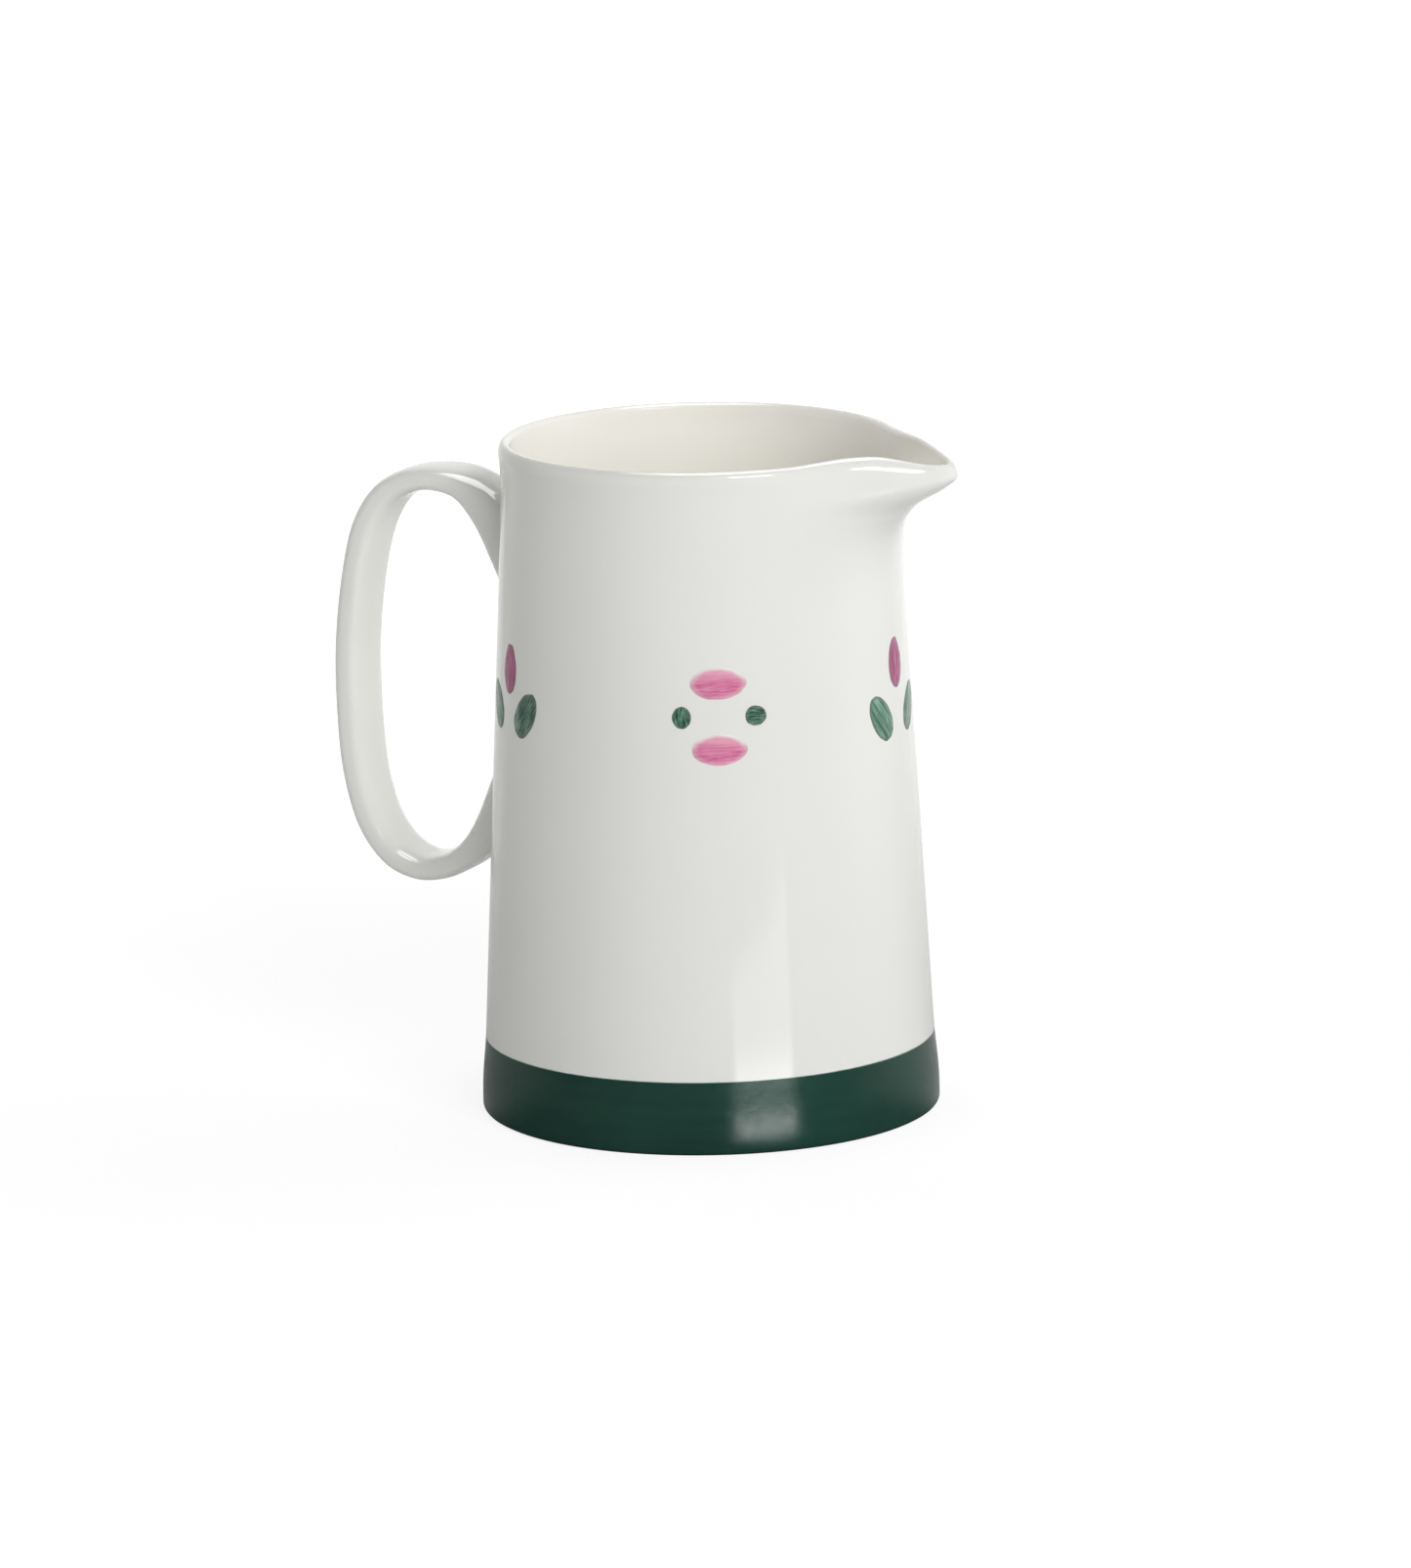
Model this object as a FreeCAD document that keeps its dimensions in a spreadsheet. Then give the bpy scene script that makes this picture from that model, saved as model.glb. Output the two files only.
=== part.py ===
import FreeCAD, Part

import math
import os

from FreeCAD import Placement, Rotation, Vector

# Porcelain cream jug, millimetres.  The origin is the middle of the foot, on the table.
# +Z is up, +X runs along the pouring lip and the handle stands along -X.

PARTS_FOLDER = "parts"

DIMENSIONS = {
    # overall form of the pot
    "overall_height": 120.0,
    "foot_line_radius": 40.48,
    "wall_taper": 0.0498,
    "foot_flare": 0.30,
    "foot_flare_height": 5.0,
    "foot_flare_reach": 9.0,
    "foot_edge_radius": 0.9,
    "rim_flare": 1.2,
    "rim_flare_depth": 10.0,
    # clay wall
    "rim_wall": 2.3,
    "foot_wall": 3.2,
    "floor_height": 4.6,
    "bore_corner": 7.0,
    "foot_recess_radius": 33.5,
    "foot_recess_depth": 1.6,
    # pouring lip
    "lip_reach": 14.9,
    "lip_half_angle": 8.6,
    "lip_spread": 0.5,
    "lip_start_height": 93.0,
    "lip_full_height": 116.6,
    "lip_wall_drop": 2.4,
    "lip_shoulder_rise": 0.6,
    "lip_tip_drop": 1.4,
    # coats
    "glaze_coat": 0.35,
    "lining_coat": 0.40,
    "band_height": 13.0,
    "band_foot_gap": 0.5,
    # handle
    "strap_half_width": 5.84,
    "strap_root_half_width": 6.8,
    "strap_corner_power": 2.9,
    "joint_coat": 0.8,
    "joints_low": 20.0,
    "joints_high": 112.0,
    "joints_split": 74.0,
    "upper_root_low": 87.4,
    "upper_root_high": 107.0,
    "lower_root_low": 43.2,
    "lower_root_high": 65.2,
    "root_bed_width": 15.0,
    # brush strokes
    "paint_coat": 0.14,
    "paint_sink": 0.02,
    "paint_low": 60.0,
    "paint_high": 95.0,
    "dab_length": 9.8,
    "dab_width": 5.6,
    "dab_upper_height": 83.2,
    "dab_lower_height": 71.6,
    "dot_length": 3.8,
    "dot_width": 3.5,
    "dot_height": 77.3,
    "dot_spacing": 6.5,
    "petal_length": 9.0,
    "petal_width": 5.4,
    "petal_height": 81.9,
    "leaf_length": 9.4,
    "leaf_width": 5.4,
    "leaf_height": 73.9,
    "leaf_spacing": 6.3,
    "leaf_lean": 33.0,
    "front_flower_angle": 3.3,
    "side_flower_angle": 132.3,
    "dab_angle": 60.0,
}

# The handle's stations from the upper root to the lower one: where the outer and the inner
# face of the strap stand in the plane of the handle, as distance from the axis and height.
HANDLE_STATIONS = [
    ((33.6, 104.4), (34.2, 87.0)),
    ((36.0, 106.2), (36.8, 89.8)),
    ((38.8, 108.4), (39.4, 94.6)),
    ((42.2, 110.5), (41.8, 101.8)),
    ((46.6, 111.9), (45.4, 107.0)),
    ((52.0, 112.2), (50.9, 107.9)),
    ((57.6, 111.3), (55.6, 107.0)),
    ((63.0, 107.8), (59.4, 104.2)),
    ((67.2, 101.0), (62.5, 98.8)),
    ((69.7, 91.0), (64.7, 90.2)),
    ((71.2, 79.0), (66.2, 78.8)),
    ((71.3, 67.0), (66.3, 67.2)),
    ((70.3, 55.5), (65.5, 56.2)),
    ((67.4, 45.6), (63.2, 47.9)),
    ((62.4, 39.1), (59.4, 42.9)),
    ((56.4, 36.5), (55.4, 41.0)),
    ((50.6, 36.9), (51.6, 41.3)),
    ((45.8, 39.1), (48.0, 43.2)),
    ((41.8, 42.0), (45.2, 46.4)),
    ((38.9, 44.4), (42.8, 51.0)),
    ((36.4, 46.8), (40.2, 57.2)),
    ((34.0, 49.2), (37.2, 64.0)),
]

STATION_ROOT_FADE = 1.2
STRAP_SECTION_POINTS = 24
STROKE_PRISM_DEPTH = 20.0
OVAL_POINTS = 24
ROOT_POWER = 0.75
EVEN_POWER = 1.0
PETAL_POWER = 1.1
LEAF_POWER = 1.2
DAB_POWER = 1.05
DOT_POWER = 1.0
STANDING = 0.0
LYING = 90.0

# Pull of the lip between its start height and its full height, as shares of its reach: a
# slow start up the wall, then the beak, then the upright edge of the lip.
LIP_PROFILE = [
    (0.00, 0.000),
    (0.25, 0.035),
    (0.45, 0.115),
    (0.62, 0.255),
    (0.76, 0.470),
    (0.86, 0.730),
    (0.94, 0.925),
    (1.00, 1.000),
]

# The rim's wave above the lip: distance from the axis, and the share of the shoulder's rise
# or, where it is negative, of the tip's drop.
RIM_WAVE = [
    (0.0, 0.0),
    (26.0, 0.0),
    (35.0, 1.0),
    (41.5, 0.0),
    (46.0, -1.0),
]
RIM_BLOCK_HEIGHT = 20.0

FORM_HEIGHTS = [0.0, 0.6, 2.0, 5.0, 9.0, 14.0, 40.0, 70.0, 88.0, 94.0, 99.0, 103.0, 106.5,
                109.0, 111.0, 112.7, 114.2, 115.6, 117.0, 119.5, 123.0]
BORE_CORNER_STEPS = [0.0, 0.15, 0.6, 1.5, 3.0, 5.0, 7.0]
BORE_HEIGHTS = [20.0, 45.0, 72.0, 90.0, 96.4, 101.4, 105.4, 108.9, 111.4, 113.4, 115.1, 116.6,
                118.0, 119.5, 123.0]
SECTION_POINTS = 64
TIP_CROWDING = 0.75


def new_sheet(doc):
    """Writes the driving dimensions into a spreadsheet, one named cell each."""
    sheet = doc.addObject("Spreadsheet::Sheet", "dimensions")
    for row, (name, value) in enumerate(DIMENSIONS.items(), start=1):
        sheet.set("A%d" % row, name)
        sheet.set("B%d" % row, str(value))
        sheet.setAlias("B%d" % row, name)
    doc.recompute()
    return sheet


def interpolate_table(table, value):
    """Reads a smooth monotone curve through the pairs of a table, flat past its ends."""
    if value <= table[0][0]:
        return table[0][1]
    if value >= table[-1][0]:
        return table[-1][1]
    slopes = [(b[1] - a[1]) / (b[0] - a[0]) for a, b in zip(table, table[1:])]
    tangents = [slopes[0]]
    for before, after in zip(slopes, slopes[1:]):
        tangents.append(2.0 * before * after / (before + after) if before * after > 0 else 0.0)
    tangents.append(0.0)
    for index, (low, high) in enumerate(zip(table, table[1:])):
        if value <= high[0]:
            span = high[0] - low[0]
            step = (value - low[0]) / span
            start = (1 + 2 * step) * (1 - step) ** 2 * low[1]
            start_slope = step * (1 - step) ** 2 * span * tangents[index]
            end = step ** 2 * (3 - 2 * step) * high[1]
            end_slope = step ** 2 * (step - 1) * span * tangents[index + 1]
            return start + start_slope + end + end_slope


class PotForm:
    """The rule of the pot: the radius of its faces at each height and angle."""

    def __init__(self, sheet):
        self.sheet = sheet

    def outside(self, height):
        """Radius of the glazed outside away from the lip."""
        s = self.sheet
        radius = s.foot_line_radius - s.wall_taper * height
        above_flare = height - (s.overall_height - s.rim_flare_depth)
        if above_flare > 0:
            radius += s.rim_flare * min(above_flare / s.rim_flare_depth, 1.0) ** 2
        near_foot = max(0.0, 1.0 - abs(height - s.foot_flare_height) / s.foot_flare_reach)
        radius += s.foot_flare * near_foot ** 2
        under_edge = 1.0 - height / (2.0 * s.foot_edge_radius)
        if under_edge > 0:
            radius -= s.foot_edge_radius * under_edge ** 2
        return radius

    def wall(self, height):
        """Thickness of the wall with its coats, thicker towards the foot."""
        s = self.sheet
        share = min(max(height / s.overall_height, 0.0), 1.0)
        return s.foot_wall + (s.rim_wall - s.foot_wall) * share

    def bore(self, height):
        """Radius of the glazed inside away from the lip, with its round corner at the floor."""
        s = self.sheet
        above_floor = height - s.floor_height
        radius = self.outside(height) - self.wall(height)
        if above_floor < s.bore_corner:
            side = 1.0 - max(above_floor, 0.0) / s.bore_corner
            radius -= s.bore_corner * (1.0 - math.sqrt(max(0.0, 1.0 - side ** 2)))
        return radius

    def lip(self, height):
        """How far the lip is pulled out on its own centre line at a height."""
        s = self.sheet
        share = (height - s.lip_start_height) / (s.lip_full_height - s.lip_start_height)
        return s.lip_reach * interpolate_table(LIP_PROFILE, share)

    def lip_spread(self, height):
        """Half angle of the lip in radians, wider down the wall than at the rim."""
        s = self.sheet
        below_rim = max(s.overall_height - height, 0.0)
        return math.radians(s.lip_half_angle + s.lip_spread * below_rim)

    def outside_at(self, height, angle, offset):
        """Radius of the outside, an offset proud of the glaze, at a height and an angle."""
        bell = 1.0 / math.cosh(angle / self.lip_spread(height))
        return self.outside(height) + offset + self.lip(height) * bell

    def bore_at(self, height, angle, offset):
        """Radius of the inside, an offset into the wall, at a height and an angle."""
        lower = height - self.sheet.lip_wall_drop - offset
        bell = 1.0 / math.cosh(angle / self.lip_spread(height))
        return self.bore(height) + offset + self.lip(lower) * bell


def section_wire(radius_at, height):
    """A closed smooth section at a height, with its points crowded towards the lip."""
    points = []
    parameters = []
    for index in range(SECTION_POINTS):
        turn = 2.0 * math.pi * index / SECTION_POINTS
        angle = turn - TIP_CROWDING * math.sin(turn)
        if angle > math.pi:
            angle -= 2.0 * math.pi
        radius = radius_at(height, angle)
        points.append(Vector(radius * math.cos(angle), radius * math.sin(angle), height))
        parameters.append(float(index))
    parameters.append(float(SECTION_POINTS))
    curve = Part.BSplineCurve()
    curve.interpolate(Points=points, Parameters=parameters, PeriodicFlag=True)
    return Part.Wire([curve.toShape()])


def add_form(doc, name, heights, radius_at):
    """Adds the solid that a set of level sections bounds."""
    form = doc.addObject("Part::Feature", name)
    form.Shape = Part.makeLoft([section_wire(radius_at, height) for height in heights], True)
    return form


def add_cut(doc, name, base, tool):
    """Adds base minus tool."""
    cut = doc.addObject("Part::Cut", name)
    cut.Base = base
    cut.Tool = tool
    return cut


def add_common(doc, name, base, tool):
    """Adds what base and tool share."""
    common = doc.addObject("Part::Common", name)
    common.Base = base
    common.Tool = tool
    return common


def add_slab(doc, name, low, high):
    """Adds a wide level slab between two heights, each an expression of the sheet."""
    slab = doc.addObject("Part::Box", name)
    slab.setExpression("Length", "dimensions.overall_height * 2")
    slab.setExpression("Width", "dimensions.overall_height * 2")
    slab.setExpression("Height", "(%s) - (%s)" % (high, low))
    slab.setExpression("Placement.Base.x", "-dimensions.overall_height")
    slab.setExpression("Placement.Base.y", "-dimensions.overall_height")
    slab.setExpression("Placement.Base.z", low)
    return slab


def add_wall_cone(doc, name, low, high, proud):
    """Adds the straight cone of the outside wall between two heights, proud of the glaze."""
    cone = doc.addObject("Part::Cone", name)
    radius = "dimensions.foot_line_radius - dimensions.wall_taper * (%s) + (%s)"
    cone.setExpression("Radius1", radius % (low, proud))
    cone.setExpression("Radius2", radius % (high, proud))
    cone.setExpression("Height", "(%s) - (%s)" % (high, low))
    cone.setExpression("Placement.Base.z", low)
    return cone


def add_rim_block(doc, name, sheet, sink):
    """Adds what lies above the wavy rim, which rises at the shoulders and drops at the tip."""
    rim = sheet.overall_height - sink
    reach = sheet.overall_height / 2.0
    wave = [Vector(-reach, 0.0, rim)]
    for along, rise in RIM_WAVE:
        drop = -sheet.lip_tip_drop if rise < 0 else sheet.lip_shoulder_rise
        wave.append(Vector(along, 0.0, rim + abs(rise) * drop))
    wave.append(Vector(reach, 0.0, rim - sheet.lip_tip_drop))
    curve = Part.BSplineCurve()
    curve.interpolate(wave)
    top = rim + RIM_BLOCK_HEIGHT
    corners = [wave[-1], Vector(reach, 0.0, top), Vector(-reach, 0.0, top), wave[0]]
    sides = [Part.LineSegment(a, b).toShape() for a, b in zip(corners, corners[1:])]
    face = Part.Face(Part.Wire([curve.toShape()] + sides))
    block = doc.addObject("Part::Feature", name)
    block.Shape = face.extrude(Vector(0.0, 2.0 * reach, 0.0))
    block.Placement = Placement(Vector(0.0, -reach, 0.0), Rotation())
    return block


def strap_section(outer, inner, half_width, power):
    """A rounded strap section between an outer and an inner point, as a closed wire."""
    middle = Vector(-(outer[0] + inner[0]) / 2.0, 0.0, (outer[1] + inner[1]) / 2.0)
    across = Vector(-(outer[0] - inner[0]) / 2.0, 0.0, (outer[1] - inner[1]) / 2.0)
    points = []
    for index in range(STRAP_SECTION_POINTS):
        turn = 2.0 * math.pi * index / STRAP_SECTION_POINTS
        side = math.copysign(abs(math.cos(turn)) ** (2.0 / power), math.cos(turn))
        up = math.copysign(abs(math.sin(turn)) ** (2.0 / power), math.sin(turn))
        points.append(middle + across * up + Vector(0.0, side * half_width, 0.0))
    curve = Part.BSplineCurve()
    parameters = [float(index) for index in range(STRAP_SECTION_POINTS + 1)]
    curve.interpolate(Points=points, Parameters=parameters, PeriodicFlag=True)
    return Part.Wire([curve.toShape()])


def add_strap(doc, name, sheet):
    """Adds the handle's strap with its spreading roots."""
    last = len(HANDLE_STATIONS) - 1
    sections = []
    for index, (outer, inner) in enumerate(HANDLE_STATIONS):
        from_root = min(index, last - index) / STATION_ROOT_FADE
        spread = sheet.strap_root_half_width - sheet.strap_half_width
        half_width = sheet.strap_half_width + spread * math.exp(-from_root ** 2)
        sections.append(strap_section(outer, inner, half_width, sheet.strap_corner_power))
    strap = doc.addObject("Part::Feature", name)
    strap.Shape = Part.makeLoft(sections, True)
    return strap


def oval_prism(length, width, side_power, end_power, depth):
    """An oval prism along X from the origin's plane: its length stands up and its width is level.

    A side power over 1 draws the ends in to points; powers under 1 make the oval squarer.
    """
    points = []
    for index in range(OVAL_POINTS):
        turn = 2.0 * math.pi * index / OVAL_POINTS
        along = math.copysign(abs(math.sin(turn)) ** end_power, math.sin(turn)) * length / 2.0
        side = math.copysign(abs(math.cos(turn)) ** side_power, math.cos(turn)) * width / 2.0
        points.append(Vector(0.0, side, along))
    curve = Part.BSplineCurve()
    curve.interpolate(Points=points, PeriodicFlag=True)
    return Part.Face(Part.Wire([curve.toShape()])).extrude(Vector(depth, 0.0, 0.0))


def add_root_prisms(doc, sheet):
    """Adds the two oval prisms that mark where the handle's roots stand on the wall."""
    prisms = []
    for low, high in ((sheet.upper_root_low, sheet.upper_root_high),
                      (sheet.lower_root_low, sheet.lower_root_high)):
        prism = oval_prism(high - low, sheet.root_bed_width, ROOT_POWER, ROOT_POWER,
                           sheet.foot_line_radius)
        prism.Placement = Placement(Vector(-1.5 * sheet.foot_line_radius, 0.0, (low + high) / 2.0),
                                    Rotation())
        prisms.append(prism)
    roots = doc.addObject("Part::Feature", "root_prisms")
    roots.Shape = Part.makeCompound(prisms)
    return roots


def add_strokes(doc, name, label, sheet, places, size, power, paint):
    """Adds the strokes of one kind as separate thin solids on the glaze."""
    prisms = []
    for angle, shift, height, lean in places:
        radius = sheet.foot_line_radius - sheet.wall_taper * height
        turn = math.degrees(shift / radius) + angle
        prism = oval_prism(size[0], size[1], power, EVEN_POWER, STROKE_PRISM_DEPTH)
        tilt = Rotation(Vector(1.0, 0.0, 0.0), lean)
        around = Rotation(Vector(0.0, 0.0, 1.0), turn)
        start = around.multVec(Vector(radius - STROKE_PRISM_DEPTH / 2.0, 0.0, height))
        prism.Placement = Placement(start, around.multiply(tilt))
        prisms.append(prism)
    stamp = doc.addObject("Part::Feature", name + "_stamp")
    stamp.Shape = Part.makeCompound(prisms)
    strokes = add_common(doc, name, stamp, paint)
    strokes.Label = label
    return strokes


def build_strokes(doc, sheet):
    """Adds the painted strokes: three flowers, and four dabs with four dots in two motifs."""
    low, high = "dimensions.paint_low", "dimensions.paint_high"
    outer = add_wall_cone(doc, "paint_outside", low, high, "dimensions.paint_coat")
    inner = add_wall_cone(doc, "paint_inside", low, high, "-dimensions.paint_sink")
    paint = add_cut(doc, "paint_layer", outer, inner)
    flowers = [sheet.front_flower_angle, sheet.side_flower_angle, -sheet.side_flower_angle]
    motifs = [sheet.dab_angle, -sheet.dab_angle]
    petals = [(angle, 0.0, sheet.petal_height, STANDING) for angle in flowers]
    leaves = []
    for angle in flowers:
        for side in (-1.0, 1.0):
            leaves.append((angle, side * sheet.leaf_spacing, sheet.leaf_height,
                           -side * sheet.leaf_lean))
    dabs = []
    dots = []
    for angle in motifs:
        dabs.append((angle, 0.0, sheet.dab_upper_height, LYING))
        dabs.append((angle, 0.0, sheet.dab_lower_height, LYING))
        dots.append((angle, sheet.dot_spacing, sheet.dot_height, STANDING))
        dots.append((angle, -sheet.dot_spacing, sheet.dot_height, STANDING))
    return [
        add_strokes(doc, "petals", "flower_petals", sheet, petals,
                    (sheet.petal_length, sheet.petal_width), PETAL_POWER, paint),
        add_strokes(doc, "leaves", "flower_leaves", sheet, leaves,
                    (sheet.leaf_length, sheet.leaf_width), LEAF_POWER, paint),
        add_strokes(doc, "dabs", "pink_dabs", sheet, dabs,
                    (sheet.dab_length, sheet.dab_width), DAB_POWER, paint),
        add_strokes(doc, "dots", "green_dots", sheet, dots,
                    (sheet.dot_length, sheet.dot_width), DOT_POWER, paint),
    ]


def build_pot(doc, sheet, root_prisms):
    """Adds the clay pot and the coats on it: the glaze, the lining and the band."""
    form = PotForm(sheet)
    coat = sheet.glaze_coat
    lining = sheet.lining_coat
    bore_heights = [sheet.floor_height + step for step in BORE_CORNER_STEPS]
    bore_heights += BORE_HEIGHTS
    clay_heights = list(bore_heights)
    clay_heights[0] -= lining

    glaze_form = add_form(doc, "glaze_form", FORM_HEIGHTS,
                          lambda height, angle: form.outside_at(height, angle, 0.0))
    clay_form = add_form(doc, "clay_form", FORM_HEIGHTS,
                         lambda height, angle: form.outside_at(height, angle, -coat))
    glaze_bore = add_form(doc, "glaze_bore", bore_heights,
                          lambda height, angle: form.bore_at(height, angle, 0.0))
    clay_bore = add_form(doc, "clay_bore", clay_heights,
                         lambda height, angle: form.bore_at(height, angle, lining))
    rim_block = add_rim_block(doc, "above_rim", sheet, 0.0)
    clay_rim_block = add_rim_block(doc, "above_clay_rim", sheet, coat)

    recess = doc.addObject("Part::Cone", "foot_recess")
    recess.setExpression("Radius1", "dimensions.foot_recess_radius")
    recess.setExpression("Radius2", "dimensions.foot_recess_radius - dimensions.foot_recess_depth")
    recess.setExpression("Height", "dimensions.foot_recess_depth")

    trimmed = add_cut(doc, "clay_trimmed", clay_form, clay_rim_block)
    hollow = add_cut(doc, "clay_hollow", trimmed, clay_bore)
    clay = add_cut(doc, "clay_body", hollow, recess)
    clay.Label = "body_casting"

    skin_form = add_cut(doc, "skin_form", glaze_form, rim_block)
    skin_solid = add_cut(doc, "skin_solid", skin_form, trimmed)
    skin = add_cut(doc, "skin", skin_solid, clay_bore)
    above_band = add_slab(doc, "above_band", "dimensions.band_height",
                          "dimensions.overall_height * 2")
    beside_band = add_slab(doc, "beside_band", "dimensions.band_foot_gap",
                           "dimensions.band_height")
    glaze_skin = add_common(doc, "glaze_skin", skin, above_band)
    glaze = add_cut(doc, "glaze", glaze_skin, root_prisms)
    glaze.Label = "outer_glaze"
    band = add_common(doc, "band", skin, beside_band)
    band.Label = "base_band"

    lining_form = add_cut(doc, "lining_form", clay_bore, rim_block)
    inside = add_cut(doc, "lining", lining_form, glaze_bore)
    inside.Label = "inner_glaze"
    return [clay, glaze, band, inside], clay_form


def build_handle(doc, strap, root_prisms, clay_form):
    """Adds the strap handle and the two beds of slip that hold it to the wall."""
    bed_cone = add_wall_cone(doc, "bed_cone", "dimensions.joints_low", "dimensions.joints_high",
                             "dimensions.joint_coat - dimensions.glaze_coat")
    handle = add_cut(doc, "handle_strap", strap, bed_cone)
    handle.Label = "handle"
    bed = add_cut(doc, "bed", bed_cone, clay_form)
    beds = add_common(doc, "beds", bed, root_prisms)
    upper_half = add_slab(doc, "upper_half", "dimensions.joints_split",
                          "dimensions.joints_high")
    lower_half = add_slab(doc, "lower_half", "dimensions.joints_low",
                          "dimensions.joints_split")
    upper = add_common(doc, "upper_bed", beds, upper_half)
    upper.Label = "upper_handle_joint"
    lower = add_common(doc, "lower_bed", beds, lower_half)
    lower.Label = "lower_handle_joint"
    return [handle, upper, lower]


def check_document(doc):
    """Stops if any object of the document failed to compute."""
    for item in doc.Objects:
        if "Invalid" in item.State or "Error" in item.State:
            raise RuntimeError("%s did not compute: %s" % (item.Name, item.State))


def write_parts(subparts):
    """Checks each sub-part and writes it under its Label."""
    os.makedirs(PARTS_FOLDER, exist_ok=True)
    for item in subparts:
        shape = item.Shape
        if shape.isNull() or not shape.isValid() or not shape.Solids:
            raise RuntimeError("%s has no valid shape" % item.Label)
        box = shape.optimalBoundingBox(True, False)
        print("%-20s %2d solids %10.1f mm3  x %.2f %.2f  y %.2f %.2f  z %.2f %.2f" % (
            item.Label, len(shape.Solids), shape.Volume,
            box.XMin, box.XMax, box.YMin, box.YMax, box.ZMin, box.ZMax))
        shape.exportStep(os.path.join(PARTS_FOLDER, item.Label + ".step"))


def main():
    """Builds the jug and writes its sub-parts."""
    doc = FreeCAD.newDocument("cream_jug")
    sheet = new_sheet(doc)
    strap = add_strap(doc, "strap", sheet)
    root_prisms = add_root_prisms(doc, sheet)
    pot_parts, clay_form = build_pot(doc, sheet, root_prisms)
    handle_parts = build_handle(doc, strap, root_prisms, clay_form)
    stroke_parts = build_strokes(doc, sheet)
    doc.recompute()
    check_document(doc)
    write_parts(pot_parts + handle_parts + stroke_parts)


main()
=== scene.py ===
"""The looks of the porcelain cream jug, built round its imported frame, in metres.

The origin is the middle of the foot on the table, +Z is up, +X runs along the pouring lip
and the handle stands along -X.
"""

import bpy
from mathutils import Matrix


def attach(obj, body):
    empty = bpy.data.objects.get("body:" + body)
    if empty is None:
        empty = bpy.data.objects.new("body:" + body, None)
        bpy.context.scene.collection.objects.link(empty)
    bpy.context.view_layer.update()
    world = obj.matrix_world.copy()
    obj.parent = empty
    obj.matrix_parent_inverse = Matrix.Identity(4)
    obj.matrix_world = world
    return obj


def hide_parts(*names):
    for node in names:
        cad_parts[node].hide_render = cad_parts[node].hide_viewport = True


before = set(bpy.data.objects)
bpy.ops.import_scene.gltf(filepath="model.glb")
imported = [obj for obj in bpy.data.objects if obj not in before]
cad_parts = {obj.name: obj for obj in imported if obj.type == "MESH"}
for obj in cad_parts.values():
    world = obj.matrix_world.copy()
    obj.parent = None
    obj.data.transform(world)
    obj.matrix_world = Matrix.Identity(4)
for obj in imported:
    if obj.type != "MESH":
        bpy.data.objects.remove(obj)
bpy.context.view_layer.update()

import logging
import math
from dataclasses import dataclass, field
from enum import Enum
from typing import Dict, List, Optional, Sequence, Tuple, Union

import bmesh
import bpy
from mathutils import Matrix, Vector

MM = 0.001
BODY = "root"
WELD_DISTANCE = 1e-6
SHARP_ANGLE = 50.0
NOISE_SPAN = (0.3, 0.7)
COSH_LIMIT = 30.0

Point2 = Tuple[float, float]
Colour = Tuple[float, float, float]
Section = List[Tuple[float, float, float]]
Number = Union["Field", float]

log = logging.getLogger("cream_jug")


class Slot(Enum):
    """The record's material slots that the pieces take their finish from."""

    CLAY = "biscuit_clay"
    GLAZE = "white_glaze"
    LINING = "ivory_lining"
    BAND = "green_band"
    HANDLE = "handle_glaze"
    JOINT = "slip_joint"
    PETAL = "magenta_stroke"
    LEAF = "green_stroke"
    DAB = "pink_stroke"


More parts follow.
